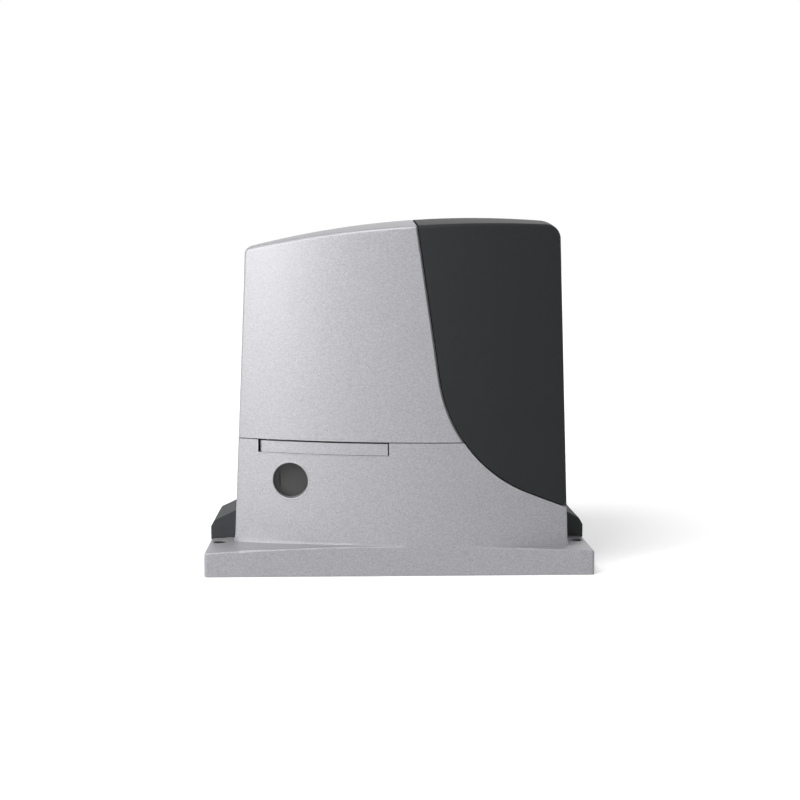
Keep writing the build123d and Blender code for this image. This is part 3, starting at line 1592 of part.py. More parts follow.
# Rubber grommet where the supply conduit comes up through the floor
with BuildPart() as cable_grommet:
    with BuildSketch(Plane.XZ.offset(-grommet_y)):
        with BuildLine():
            Polyline(
                (grommet_x + grommet_radius - 3, floor_top - 6),
                (grommet_x + grommet_radius, floor_top - 6),
                (grommet_x + grommet_radius, floor_top),
                (grommet_x + grommet_radius + 3, floor_top),
                (grommet_x + grommet_radius + 3, floor_top + 2),
                (grommet_x + grommet_radius - 2, floor_top + 3),
                (grommet_x + 7, floor_top + 1),
                (grommet_x + 7, floor_top),
                (grommet_x + grommet_radius - 3, floor_top - 0.5),
                close=True,
            )
        make_face()
    revolve(axis=Axis((grommet_x, grommet_y, 0), (0, 0, 1)))
cable_grommet.part.label = "cable_grommet"
export_step(cable_grommet.part, "parts/cable_grommet.step")
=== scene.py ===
# %% [markdown]
# # A sliding gate motor, dressed in Blender
#
# The solids of the motor come ready made, each in its place, and move on their
# joints. This lesson gives them their finishes and small forms: metallic
# paint, moulded plastic, wound wire, screws and springs. Every new piece is a
# surface worked out as whole arrays with numpy, and every finish is a small
# tree of nodes written as plain arithmetic.

import json
from math import atan2, pi, radians, sqrt

import bmesh
import bpy
import numpy as np
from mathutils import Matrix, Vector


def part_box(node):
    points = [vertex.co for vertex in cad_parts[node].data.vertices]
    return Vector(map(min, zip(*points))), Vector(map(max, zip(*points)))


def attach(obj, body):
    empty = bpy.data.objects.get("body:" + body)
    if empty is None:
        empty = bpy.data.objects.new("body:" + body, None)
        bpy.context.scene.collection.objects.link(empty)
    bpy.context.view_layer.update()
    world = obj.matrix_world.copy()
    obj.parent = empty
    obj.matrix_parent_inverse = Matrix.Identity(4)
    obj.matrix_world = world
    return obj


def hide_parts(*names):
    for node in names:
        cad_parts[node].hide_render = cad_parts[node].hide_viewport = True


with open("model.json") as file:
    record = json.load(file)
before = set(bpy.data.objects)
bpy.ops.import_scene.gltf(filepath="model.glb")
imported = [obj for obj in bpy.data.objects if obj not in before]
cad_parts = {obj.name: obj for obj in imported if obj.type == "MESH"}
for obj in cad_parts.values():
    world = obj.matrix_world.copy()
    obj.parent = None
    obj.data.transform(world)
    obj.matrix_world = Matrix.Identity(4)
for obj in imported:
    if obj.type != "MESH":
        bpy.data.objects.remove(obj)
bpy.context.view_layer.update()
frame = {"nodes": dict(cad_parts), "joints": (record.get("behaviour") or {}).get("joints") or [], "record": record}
nodes = frame["nodes"]
record = frame["record"]

# %% [markdown]
# ## The camera
#
# The motor is seen from a little above and almost square to its long front.
# A long lens keeps its uprights nearly parallel. The angles and the lens come
# from the four corners of the flange and the corners of the housing, whose
# places in space are known.

# %% Place the camera
CAMERA_PLACE = (-0.0423, -1.3347, 0.2605)
CAMERA_DOWN = 5.17
CAMERA_TURN = 1.96
CAMERA_LENS = 66.6
SENSOR_WIDTH = 36.0
NEAREST_SEEN = 0.01

camera_data = bpy.data.cameras.new("studio camera")
camera_data.lens = CAMERA_LENS
camera_data.sensor_width = SENSOR_WIDTH
camera_data.clip_start = NEAREST_SEEN
camera = bpy.data.objects.new("studio camera", camera_data)
camera.location = CAMERA_PLACE
camera.rotation_euler = (radians(90 - CAMERA_DOWN), 0, radians(-CAMERA_TURN))
bpy.context.scene.collection.objects.link(camera)
bpy.context.scene.camera = camera
print("camera at", CAMERA_PLACE, "lens", CAMERA_LENS)

# %% [markdown]
# ## Arithmetic on sockets
#
# A shader tree is a formula, and a formula reads best as one. The class Wire
# wraps an output socket and overloads the operators that the finishes use, so
# that `0.4 + 0.1 * grain` adds its own Math nodes. Every other node comes from
# one method of the class Finish, which sets the node's settings first and then
# its sockets. The world is closed like a material, so it is a Finish as well.

# %% Wires and finishes
scene = bpy.context.scene
scene.view_settings.view_transform = "Standard"


class Wire:
    """An output socket that takes part in arithmetic. Each operator adds one Math node."""

    def __init__(self, finish, socket):
        self.finish, self.socket = finish, socket

    def _math(self, operation, first, second):
        return self.finish.node("ShaderNodeMath", {"operation": operation}, {0: first, 1: second})

    def __add__(self, other):
        return self._math("ADD", self, other)

    def __radd__(self, other):
        return self._math("ADD", other, self)

    def __mul__(self, other):
        return self._math("MULTIPLY", self, other)

    def __rmul__(self, other):
        return self._math("MULTIPLY", other, self)

    def least(self, other):
        return self._math("MINIMUM", self, other)

    def most(self, other):
        return self._math("MAXIMUM", self, other)


class Finish:
    """A material or a world: its tree, any node in it, and the surface that closes it."""

    def __init__(self, owner):
        self.owner = owner
        owner.use_nodes = True
        self.tree = owner.node_tree
        self.tree.nodes.clear()

    def node(self, kind, settings=None, sockets=None, out=0):
        """A node of that kind: its settings first, then its sockets, from values or wires."""
        made = self.tree.nodes.new(kind)
        for key, value in (settings or {}).items():
            setattr(made, key, value)
        for key, value in (sockets or {}).items():
            if isinstance(value, Wire):
                self.tree.links.new(value.socket, made.inputs[key])
            else:
                made.inputs[key].default_value = value
        return Wire(self, made.outputs[out])

    def place(self):
        """The point on the object, in metres."""
        return self.node("ShaderNodeTexCoord", out="Object")

    def noise(self, spot, scale, detail):
        """A soft random number from 0 to 1."""
        sockets = {"Vector": spot, "Scale": scale, "Detail": detail}
        return self.node("ShaderNodeTexNoise", None, sockets)

    def grains(self, spot, scale):
        """A random number from 0 to 1 in each cell of a cellular pattern."""
        sockets = {"Vector": spot, "Scale": scale}
        cells = self.node("ShaderNodeTexVoronoi", None, sockets, out="Color")
        return self.node("ShaderNodeSeparateColor", None, {0: cells})

    def blend(self, factor, first, second):
        """The first colour where the factor is 0, the second where it is 1."""
        mix = {"data_type": "RGBA", "clamp_factor": True}
        return self.node("ShaderNodeMix", mix, {0: factor, 6: first, 7: second}, out=2)

    def bump(self, height, depth):
        """Normals of a surface that a height from 0 to 1 raises by that depth, in metres."""
        sockets = {"Height": height, "Distance": depth, "Strength": 1.0}
        return self.node("ShaderNodeBump", None, sockets)

    def close(self, **sockets):
        """The Principled surface, with its sockets named in words."""
        words = {key: key.replace("_", " ").title().replace("Ior", "IOR") for key in sockets}
        named = {words[key]: value for key, value in sockets.items()}
        return self.end("Material", self.node("ShaderNodeBsdfPrincipled", None, named))

    def end(self, kind, surface):
        """Close the tree of a Material or a World with its surface."""
        end = self.tree.nodes.new("ShaderNodeOutput" + kind)
        self.tree.links.new(surface.socket, end.inputs["Surface"])
        return self.owner


def new_finish(name):
    """A finish for a new material of that name."""
    return Finish(bpy.data.materials.new(name))


def shade(level, warmth=0.0):
    """A near-grey colour: level is its brightness, warmth moves it from blue to red."""
    return (level * (1 + warmth), level, level * (1 - warmth), 1.0)


print("what a wire can do:", [name for name, made in vars(Wire).items() if callable(made)][2:])

# %% [markdown]
# ## Studio
#
# The background is white, and it comes from the colour of the world and the
# floor as the camera and the reflections see them, not from more light on the
# motor. A wide soft lamp stands at the left, so that the bowed front pales
# towards its left end. A smaller one stands high and picks out the upper edge,
# and weak ones fill the front, the right and the back.

# %% World, floor and lamps
WORLD_LIGHT = 0.28
FLOOR_TONE = 0.80
FLOOR_LIFT = 0.42
FAR_LIFT = 0.3
FLOOR_REACH = 80.0
FLOOR_SINK = 0.0004
WHITE = (1, 1, 1, 1)


def seen_in(finish):
    """1 for a ray of the camera, or one that a gloss or a glass sends on, and 0 for any other."""
    kinds = ("Is Camera Ray", "Is Glossy Ray", "Is Transmission Ray")
    camera_ray, glossy_ray, through_ray = (
        finish.node("ShaderNodeLightPath", out=kind) for kind in kinds
    )
    return camera_ray.most(glossy_ray).most(through_ray)


sky = Finish(bpy.data.worlds.new("studio"))
grey, white = (
    sky.node("ShaderNodeBackground", None, {"Color": WHITE, "Strength": strength})
    for strength in (WORLD_LIGHT, 1.0)
)
pick = sky.node("ShaderNodeMixShader", None, {0: seen_in(sky), 1: grey, 2: white})
scene.world = sky.end("World", pick)

floor_finish = new_finish("studio floor")
lit = floor_finish.node("ShaderNodeBsdfDiffuse", None, {"Color": shade(FLOOR_TONE)})
far = floor_finish.node(
    "ShaderNodeVectorMath", {"operation": "LENGTH"}, {0: floor_finish.place()}, out="Value"
)
glow = seen_in(floor_finish) * (FLOOR_LIFT + far * FAR_LIFT).least(1.0)
lift = floor_finish.node("ShaderNodeEmission", None, {"Strength": glow})
both = floor_finish.node("ShaderNodeAddShader", None, {0: lit, 1: lift})

floor_mesh = bpy.data.meshes.new("studio floor")
ends = ((-1, -1), (1, -1), (1, 1), (-1, 1))
corners = [(x * FLOOR_REACH, y * FLOOR_REACH, -FLOOR_SINK) for x, y in ends]
floor_mesh.from_pydata(corners, [], [(0, 1, 2, 3)])
floor_mesh.materials.append(floor_finish.end("Material", both))
floor = bpy.data.objects.new("studio floor", floor_mesh)
scene.collection.objects.link(floor)


def lamp(name, place, aim, size, power):
    """A square soft lamp of that size in metres and power in watts, turned to face a point."""
    data = bpy.data.lights.new(name, "AREA")
    data.shape, data.size, data.energy = "SQUARE", size, power
    made = bpy.data.objects.new(name, data)
    east, north, up = np.subtract(place, aim)
    made.location = place
    made.rotation_euler = (atan2(sqrt(east**2 + north**2), up), 0, atan2(east, -north))
    scene.collection.objects.link(made)
    return made


MIDDLE, UPPER_EDGE = (0, 0, 0.15), (0, 0, 0.28)
lamps = [
    lamp("left lamp", (-1.6, -1.1, 0.8), MIDDLE, 0.9, 29.0),
    lamp("front lamp", (-0.6, -2.5, 0.9), MIDDLE, 0.9, 2.0),
    lamp("rim lamp", (-0.6, -1.0, 1.9), UPPER_EDGE, 0.7, 22.0),
    lamp("right lamp", (2.2, -0.3, 0.9), MIDDLE, 1.0, 2.0),
    lamp("back lamp", (0.8, 2.2, 1.9), MIDDLE, 1.2, 5.0),
]
print("lamps:", [(each.name, each.data.energy) for each in lamps])

# %% [markdown]
# ## Finishes
#
# The record names a slot for every piece, such as silver paint or turned
# steel. Each slot gets one material here. Paint and plastic read the place on
# the object, so their grain keeps its size on every piece: metal flakes of
# under a millimetre, and a moulded grain of about one.

# %% Paint, plastic and metal
PAINT_TINT = (1.005, 1.0, 1.055)
PAINT_METAL, PAINT_ROUGH, PAINT_SPARKLE, PAINT_DEPTH = 0.35, 0.40, 0.10, 0.00006
FLAKES_PER_METRE, DRIFT_PER_METRE, FLAKE_SHARE, FLAKE_RISE = 1500.0, 700.0, 0.55, 0.4
GRAIN_PER_METRE, GRAIN_DEPTH, GRAIN_SPREAD, GRAIN_ROUGH = 1100.0, 0.00005, 0.14, 0.06
WEAR_PER_METRE, WEAR_DEPTH, WEAR_SPREAD, WEAR_ROUGH = 900.0, 0.00003, 0.1, 0.05


def metallic_paint(name, dark, light):
    """Paint with metal flakes: cells of random brightness over a slow drift of the base tone."""
    finish = new_finish(name)
    spot = finish.place()
    flake = finish.grains(spot, FLAKES_PER_METRE)
    drift = finish.noise(spot, DRIFT_PER_METRE, 1.0)
    level = flake * FLAKE_SHARE + drift * (1 - FLAKE_SHARE)
    low, high = (tuple(tone * part for part in PAINT_TINT) + (1.0,) for tone in (dark, light))
    return finish.close(
        base_color=finish.blend(level, low, high),
        metallic=PAINT_METAL,
        roughness=PAINT_ROUGH + PAINT_SPARKLE * flake,
        normal=finish.bump(flake * FLAKE_RISE + drift * (1 - FLAKE_RISE), PAINT_DEPTH),
    )


def moulded(name, tone, warmth=0.0, rough=0.5, gloss=0.5):
    """Moulded plastic: one tone with a fine even grain. A dull skin has a low gloss."""
    finish = new_finish(name)
    grain = finish.noise(finish.place(), GRAIN_PER_METRE, 2.0)
    low, high = (shade(tone * part, warmth) for part in (1 - GRAIN_SPREAD, 1 + GRAIN_SPREAD))
    return finish.close(
        base_color=finish.blend(grain, low, high),
        roughness=rough - GRAIN_ROUGH + 2 * GRAIN_ROUGH * grain,
        specular_ior_level=gloss,
        normal=finish.bump(grain, GRAIN_DEPTH),
    )


def tinted(name, colour, rough=0.45, metallic=0.0):
    """A plain coloured finish whose tone drifts a little over the surface."""
    finish = new_finish(name)
    wear = finish.noise(finish.place(), WEAR_PER_METRE, 3.0)
    low = tuple(part * (1 - WEAR_SPREAD) for part in colour) + (1.0,)
    high = tuple(min(part * (1 + WEAR_SPREAD), 1.0) for part in colour) + (1.0,)
    return finish.close(
        base_color=finish.blend(wear, low, high),
        metallic=metallic,
        roughness=rough - WEAR_ROUGH + 2 * WEAR_ROUGH * wear,
        normal=finish.bump(wear, WEAR_DEPTH),
    )


slot_material = {
    "silver_paint": metallic_paint("silver paint", 0.235, 0.385),
    "charcoal_plastic": moulded("charcoal plastic", 0.016, -0.06, 0.55, 0.2),
    "cap_plastic": moulded("cap plastic", 0.052, -0.04, 0.6, 0.1),
    "lock_plastic": moulded("lock plastic", 0.065, 0.0, 0.45, 0.3),
    "steel": tinted("ground steel", (0.52, 0.53, 0.54), 0.3, 1.0),
    "zinc_steel": tinted("zinc plated steel", (0.62, 0.61, 0.57), 0.36, 1.0),
    "pinion_steel": tinted("milled steel", (0.48, 0.48, 0.49), 0.38, 1.0),
    "bronze": tinted("worm wheel bronze", (0.62, 0.42, 0.17), 0.34, 1.0),
    "copper": tinted("copper", (0.78, 0.42, 0.24), 0.32, 1.0),
    "aluminium": tinted("cast aluminium", (0.6, 0.61, 0.62), 0.42, 0.9),
    "magnet": tinted("ferrite", (0.1, 0.1, 0.11), 0.6),
    "rubber": moulded("black rubber", 0.02, 0.0, 0.66),
    "gasket_fibre": tinted("gasket fibre", (0.22, 0.28, 0.26), 0.8),
    "black_plastic": moulded("black plastic", 0.022, 0.0, 0.45),
    "grey_plastic": moulded("grey plastic", 0.28, 0.0, 0.5),
    "board_green": tinted("board lacquer", (0.02, 0.15, 0.07), 0.28),
    "terminal_green": tinted("terminal green", (0.05, 0.30, 0.12), 0.42),
    "component_black": moulded("component black", 0.03, 0.0, 0.35),
    "winding_tape": tinted("winding tape", (0.60, 0.50, 0.10), 0.3),
    "button_plastic": tinted("button red", (0.42, 0.04, 0.03), 0.32),
}
print("slots with a material:", len(slot_material))

# %% [markdown]
# ## The casting's foot
#
# The front wall is a drafted bow: at a height z its foremost line stands back
# by tan(draft) for each millimetre of rise, and at a place x the wall falls
# away as the circle of the bow does. Where it meets the flange it flares out.
# Near the two front corners the flare is ground down before painting, until
# about a millimetre is left, so the points there are drawn in to the wall.

# %% Dress the foot
FRONT, FOOT, DRAFT, BOW, BOW_PLACE = -105.0, 20.0, radians(2.0), 354.0, 34.0
LEFT_WALL, LEFT_DRAFT, RIGHT_WALL, RIGHT_DRAFT = -142.5, radians(2.4), 144.5, radians(1.6)
FLARE_LOW, FLARE_TOP, FLARE_REACH, FLANGE_ROUND, DRESSED = 19.9, 29.0, 4.0, -102.4, 0.66
LEFT_FADE, RIGHT_FADE, REAR_LINE = (-40.0, -75.0), (80.0, 110.0), -30.0


def front_wall(x, z):
    """Y of the casting's front at x and z, in millimetres: FRONT + (z - FOOT) tan(DRAFT) for the
    draft, and BOW - sqrt(BOW^2 - (x - BOW_PLACE)^2) for the bow."""
    return FRONT + (z - FOOT) * np.tan(DRAFT) + BOW - np.sqrt(BOW**2 - (x - BOW_PLACE) ** 2)


def dress_foot(shell):
    """Draw in the flare's front corners: a point that stands proud of a wall by p comes back by
    DRESSED * p, a share that fades to nothing towards the middle of the front."""
    points = np.array([vertex.co for vertex in shell.verts]) * 1000
    x, y, z = points.T
    front = front_wall(x, z) - y
    left = LEFT_WALL + (z - FOOT) * np.tan(LEFT_DRAFT) - x
    right = x - RIGHT_WALL + (z - FOOT) * np.tan(RIGHT_DRAFT)
    flare = (z > FLARE_LOW) & (z < FLARE_TOP) & (y > FLANGE_ROUND) & (y < REAR_LINE)
    flare &= (front < FLARE_REACH) & (left < FLARE_REACH) & (right < FLARE_REACH)
    fades = [np.clip((x - start) / (end - start), 0, 1) for start, end in (LEFT_FADE, RIGHT_FADE)]
    share = np.where(flare, DRESSED * np.maximum(*fades), 0.0)
    x_new = x + share * (np.clip(left, 0, None) - np.clip(right, 0, None))
    y_new = y + share * np.clip(front, 0, None)
    moved = np.hypot(x_new - x, y_new - y)
    for vertex, east, north in zip(shell.verts, (x_new / 1000).tolist(), (y_new / 1000).tolist()):
        vertex.co.x, vertex.co.y = east, north
    print("foot points drawn in:", (moved > 0.01).sum(), "by up to mm:", moved.max().round(2))


# %% [markdown]
# ## Smooth skins over the solids
#
# A solid arrives as loose flat triangles. A copy of it is merged at its
# corners, its gentle edges are shaded smooth and its sharp ones get a narrow
# bevel, because a real casting or moulding has no knife edges and its rounded
# edges catch the light. The copy then stands for the solid.

# %% Give each solid its skin
BEVEL = {
    "base_casting": 0.0006,
    "silver_cover": 0.0004,
    "charcoal_cover": 0.0004,
    "left_foot_cap": 0.0008,
    "right_foot_cap": 0.0008,
    "release_lever": 0.0005,
}
PLAIN_BEVEL = 0.00025
BEVEL_STEPS = 2
SOFT_ANGLE, EDGE_ANGLE, FLAT_ANGLE = 24.0, 30.0, 0.1
MERGE_REACH = 1e-6

slot_of = {part["node"]: part["material_slot"] for part in record["subparts"]}
bodies = record["behaviour"]["bodies"]
body_of = {node: body for body, members in bodies.items() for node in members}


def skin(node, bevel):
    """A merged copy of a solid: smooth below SOFT_ANGLE, bevelled above EDGE_ANGLE."""
    mesh = nodes[node].data.copy()
    mesh.name = node + "_skin"
    shell = bmesh.new()
    shell.from_mesh(mesh)
    bmesh.ops.remove_doubles(shell, verts=shell.verts, dist=MERGE_REACH)
    if node == "base_casting":
        dress_foot(shell)
    whole = {"verts": shell.verts, "edges": shell.edges, "delimit": {"MATERIAL"}}
    bmesh.ops.dissolve_limit(shell, angle_limit=radians(FLAT_ANGLE), **whole)
    shell.to_mesh(mesh)
    shell.free()
    mesh.polygons.foreach_set("use_smooth", np.ones(len(mesh.polygons), bool))
    mesh.set_sharp_from_angle(angle=radians(SOFT_ANGLE))
    mesh.materials.clear()
    mesh.materials.append(slot_material[slot_of[node]])
    made = bpy.data.objects.new(node + "_skin", mesh)
    scene.collection.objects.link(made)
    edge = made.modifiers.new("edge", "BEVEL")
    edge.width, edge.segments, edge.limit_method = bevel, BEVEL_STEPS, "ANGLE"
    edge.angle_limit = radians(EDGE_ANGLE)
    edge.use_clamp_overlap = True
    level = made.modifiers.new("level", "WEIGHTED_NORMAL")
    level.keep_sharp = True
    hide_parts(node)
    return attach(made, body_of[node])


REMADE = ("mains_transformer", "limit_arm", "board_components")
copied = [node for node in sorted(nodes) if node not in REMADE]
skins = [skin(node, BEVEL.get(node, PLAIN_BEVEL)) for node in copied]
print("skins:", len(skins), "faces of the largest:", max(len(s.data.polygons) for s in skins))

# %% [markdown]
# ## Surfaces from arrays
#
# A closed surface is a grid of points. A profile turned about an axis gives
# bushes, rods and capacitors, a circle carried along a path gives wire, and a
# sphere pushed apart gives a block with round edges. Each is worked out as one
# array, and one helper joins the grid into faces.

# %% Helpers for grids
GRID_SOFT_ANGLE = 34.0
GRID_MERGE_REACH = 1e-7
STEEP = 0.9


def mm(*values):
    """Lengths in millimetres as metres."""
    return np.array(values, float) / 1000


def joined(name, grid, slot_name, body, loop_rows=False, stands_for=()):
    """A mesh from a grid of points (rows, steps, 3). Every row is a closed ring. The rows join end
    to end if loop_rows is set, and are shut by a point at each end if not."""
    rows, steps, _ = grid.shape
    index = np.arange(rows * steps).reshape(rows, steps)
    ahead = np.roll(index, -1, axis=1)
    corners = [index, ahead, np.roll(ahead, -1, axis=0), np.roll(index, -1, axis=0)]
    last_row = rows if loop_rows else rows - 1
    faces = np.stack(corners, axis=-1)[:last_row].reshape(-1, 4).tolist()
    points = grid.reshape(-1, 3)
    if not loop_rows:
        points = np.concatenate([points, grid[0].mean(0)[None], grid[-1].mean(0)[None]])
        first, last = rows * steps, rows * steps + 1
        faces += [(first, b, a) for a, b in zip(index[0].tolist(), ahead[0].tolist())]
        faces += [(last, a, b) for a, b in zip(index[-1].tolist(), ahead[-1].tolist())]
    mesh = bpy.data.meshes.new(name)
    mesh.from_pydata(points.tolist(), [], faces)
    shell = bmesh.new()
    shell.from_mesh(mesh)
    bmesh.ops.remove_doubles(shell, verts=shell.verts, dist=GRID_MERGE_REACH)
    bmesh.ops.recalc_face_normals(shell, faces=shell.faces)
    shell.to_mesh(mesh)
    shell.free()
    mesh.polygons.foreach_set("use_smooth", np.ones(len(mesh.polygons), bool))
    mesh.set_sharp_from_angle(angle=radians(GRID_SOFT_ANGLE))
    mesh.materials.append(slot_material[slot_name])
    made = bpy.data.objects.new(name, mesh)
    scene.collection.objects.link(made)
    if stands_for:
        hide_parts(*stands_for)
    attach(made, body)
    print(name, "faces:", len(mesh.polygons))
    return made


def turned(profile, centre, axis, steps=48):
    """A profile of (radius, place along the axis) turned about an axis through the centre: at angle
    a a point stands at radius * (cos a, sin a) across the axis."""
    radius, along = np.array(profile, float).T / 1000
    angle = np.linspace(0, 2 * pi, steps, endpoint=False)
    rings = np.zeros((len(radius), steps, 3))
    across = [i for i in range(3) if i != axis]
    rings[..., across[0]] = radius[:, None] * np.cos(angle)
    rings[..., across[1]] = radius[:, None] * np.sin(angle)
    rings[..., axis] = along[:, None]
    return rings + mm(*centre)


def wire(path, radius, steps=10):
    """A circle of that radius carried along a path of points, each ring square to the path: the two
    directions across it come from cross products with the path's own direction, the first of them
    with the upright, or with the x axis where the path itself climbs."""
    forward = np.gradient(path, axis=0)
    forward /= np.linalg.norm(forward, axis=1)[:, None]
    climbs = np.abs(forward[:, 2:3]) > STEEP
    side = np.cross(forward, np.where(climbs, (1.0, 0.0, 0.0), (0.0, 0.0, 1.0)))
    side /= np.linalg.norm(side, axis=1)[:, None]
    lift = np.cross(side, forward)
    angle = np.linspace(0, 2 * pi, steps, endpoint=False)[:, None]
    ring = np.cos(angle) * side[:, None] + np.sin(angle) * lift[:, None]
    return path[:, None] + radius * ring


def soft_block(low, high, rounding, steps=24):
    """A block with round edges: a sphere of the rounding radius, whose eight parts are pushed out
    to the corners: a point is sign(normal) * (half size - rounding) + rounding * normal."""
    low, high = mm(*low), mm(*high)
    half, middle = (high - low) / 2, (high + low) / 2
    rounding = rounding / 1000
    quarter = np.linspace(0, pi / 2, steps // 4)
    around = np.concatenate([quarter + k * pi / 2 for k in range(4)])
    corner = np.concatenate([np.full(steps // 4, k) for k in range(4)])
    sign_x = np.array([1, -1, -1, 1])[corner]
    sign_y = np.array([1, 1, -1, -1])[corner]
    climb = np.concatenate([quarter - pi / 2, quarter])
    sign_z = np.concatenate([np.full(steps // 4, -1), np.full(steps // 4, 1)])
    flat, rise = np.cos(climb)[:, None], np.sin(climb)[:, None]
    rows = [flat * np.cos(around), flat * np.sin(around), rise + 0 * around]
    normal = np.stack(rows, axis=-1)
    sign = np.stack(np.broadcast_arrays(sign_x[None], sign_y[None], sign_z[:, None]), axis=-1)
    return middle + sign * (half - rounding) + rounding * normal


# %% [markdown]
# ## Black bushes as painted shade in the anchor holes
#
# The two open anchor holes are painted dark. A black bush lines each of them,
# and its black is painted shade: it stands for the shade deep in the hole as
# well as for the bush itself. A bush is a profile turned about the hole's axis:
# up the inside, over the rim and down the outside, so that its section closes.

# %% Line the anchor holes
anchors = next(m for m in record["mounts"] if m["name"] == "anchor_bolts")
anchor_x = anchors["dims"]["spacing_x_mm"] / 2
anchor_y = anchors["pos_m"][1] * 1000 - anchors["dims"]["spacing_y_mm"] / 2
BUSH_OUT, BUSH_IN, BUSH_LOW, BUSH_HIGH = 4.72, 4.3, 0.6, 20.95
COLLAR_RADIUS, COLLAR_RISE, COLLAR_EDGE, COLLAR_DROP = 5.6, 1.0, 0.15, 0.1
shade_bush = [(BUSH_IN, BUSH_LOW), (BUSH_IN, BUSH_HIGH - COLLAR_RISE), (COLLAR_RADIUS, BUSH_HIGH)]
shade_bush += [(COLLAR_RADIUS + COLLAR_EDGE, BUSH_HIGH - COLLAR_DROP)]
shade_bush += [(BUSH_OUT, BUSH_HIGH - COLLAR_RISE - COLLAR_EDGE), (BUSH_OUT, BUSH_LOW)]
for side, word in ((-1, "left"), (1, "right")):
    grid = turned(shade_bush, (side * anchor_x, anchor_y, 0), 2)
    # painted shade: the black lining makes the inside of each anchor hole dark
    joined(word + "_anchor_shade_bush", grid, "black_plastic", "base", loop_rows=True)

# %% [markdown]
# ## Painted lips round the openings
#
# The casting's edge is rolled over where the lock hole and the lever's slot
# break through its front, and the roll catches the light. Each lip is a thin
# wire that lies in the edge, at the depth that the bow of the front wall has
# there.

# %% Roll the lips
LOCK_X, LOCK_Z, LOCK_RADIUS, LIP, LIP_DEPTH, LIP_SHIFT = -93.0, 78.0, 15.4, 1.0, 0.72, 0.55
lip_turn = np.linspace(0, 2 * pi, 96, endpoint=False)
lip_ring = np.linspace(0, 2 * pi, 12, endpoint=False)
out = LOCK_RADIUS + LIP_SHIFT + LIP * np.cos(lip_ring)[None]
lip_x = LOCK_X + out * np.cos(lip_turn)[:, None]
lip_z = LOCK_Z + out * np.sin(lip_turn)[:, None]
lip_y = front_wall(lip_x, lip_z) + LIP_DEPTH + LIP * np.sin(lip_ring)[None]
lock_lip = np.stack([lip_x, lip_y, lip_z], axis=-1) / 1000
joined("lock_lip", lock_lip, "silver_paint", "base", loop_rows=True)

SLOT_LEFT, SLOT_RIGHT, SLOT_BOTTOM = -121.0, -9.2, 101.0
SLOT_LIP, SLOT_DEPTH, SLOT_DROP = 0.6, 0.36, 0.24
edge_x = np.linspace(SLOT_LEFT, SLOT_RIGHT, 90)
edge_z = np.full_like(edge_x, SLOT_BOTTOM - SLOT_DROP)
edge = np.stack([edge_x, front_wall(edge_x, edge_z) + SLOT_DEPTH, edge_z], axis=-1)
joined("slot_lip", wire(edge / 1000, SLOT_LIP / 1000), "silver_paint", "base")

# %% [markdown]
# ## The transformer's tape
#
# A toroidal transformer is wound with polyester tape, each turn half over the
# last. The section is a rounded rectangle carried round the ring, and a
# saw-tooth of the angle lifts it a fifth of a millimetre at each turn's edge,
# leaning a little along the section as real tape does.

# %% Wind the transformer
ring_low, ring_high = (np.array(corner) * 1000 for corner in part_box("mains_transformer"))
ring_middle = (ring_low + ring_high) / 2
ring_outer = (ring_high[0] - ring_low[0]) / 2
ring_height = ring_high[2] - ring_low[2]
RING_HOLE, RING_ROUND, TAPE_TURNS, TAPE_STEP, TAPE_LEAN = 14.0, 7.0, 46, 0.22, 0.35
SECTION_STEPS, STEPS_PER_TURN = 56, 12

section_turn = np.linspace(0, 2 * pi, SECTION_STEPS, endpoint=False)
outward = np.stack([np.cos(section_turn), np.sin(section_turn)], axis=-1)
half_section = np.array([(ring_outer - RING_HOLE) / 2, ring_height / 2])
corner = np.sign(outward) * (half_section - RING_ROUND)
sweep = np.linspace(0, 2 * pi, TAPE_TURNS * STEPS_PER_TURN, endpoint=False)[:, None]
lap = ((sweep * TAPE_TURNS + section_turn[None] * TAPE_LEAN) / (2 * pi)) % 1.0
sheet = corner + outward * (RING_ROUND - TAPE_STEP * lap[..., None])
reach = sheet[..., 0] + (ring_outer + RING_HOLE) / 2
tape = np.stack([reach * np.cos(sweep), reach * np.sin(sweep), sheet[..., 1]], axis=-1)
joined(
    "transformer_winding",
    (tape + ring_middle) / 1000,
    "winding_tape",
    "base",
    loop_rows=True,
    stands_for=("mains_transformer",),
)

# %% [markdown]
# ## The limit arm and its spring
#
# The arm that feels the end stops is a rod on a close-wound spring. The rod,
# its hub and its round tip are turned profiles, and the spring is a wire
# carried along a helix: the angle grows evenly while the place along the rod
# grows with it.

# %% Make the arm and the spring
arm_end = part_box("limit_arm")[1][1] * 1000
hinge = next(j for j in frame["joints"] if j["name"] == "limit_swing")["pos_m"]
pivot_x, pivot_y, pivot_z = (1000 * value for value in hinge)
TIP_RADIUS, ROD_RADIUS, HUB_RADIUS, HUB_HALF, HUB_EDGE = 3.0, 2.0, 4.5, 4.0, 0.5
SPRING_RADIUS, SPRING_WIRE, SPRING_TURNS, SPRING_START, SPRING_PITCH = 3.3, 0.7, 14, 74.5, 1.435
tip_y = arm_end - TIP_RADIUS
arc = np.linspace(pi - np.arcsin(ROD_RADIUS / TIP_RADIUS), 0, 12)
rod_profile = [(0.0, pivot_y), (ROD_RADIUS, pivot_y)]
rod_profile += [(TIP_RADIUS * np.sin(a), tip_y + TIP_RADIUS * np.cos(a)) for a in arc]
joined(
    "limit_rod",
    turned(rod_profile, (pivot_x, 0, pivot_z), 1, 32),
    "zinc_steel",
    "limit",
    stands_for=("limit_arm",),
)
hub_profile = [(HUB_RADIUS - HUB_EDGE, -HUB_HALF), (HUB_RADIUS, HUB_EDGE - HUB_HALF)]
hub_profile += [(HUB_RADIUS, HUB_HALF - HUB_EDGE), (HUB_RADIUS - HUB_EDGE, HUB_HALF)]
hub = turned(hub_profile, (pivot_x, pivot_y, pivot_z), 2, 32)
joined("limit_hub", hub, "zinc_steel", "limit")
coil_turn = np.linspace(0, 2 * pi * SPRING_TURNS, SPRING_TURNS * 28)
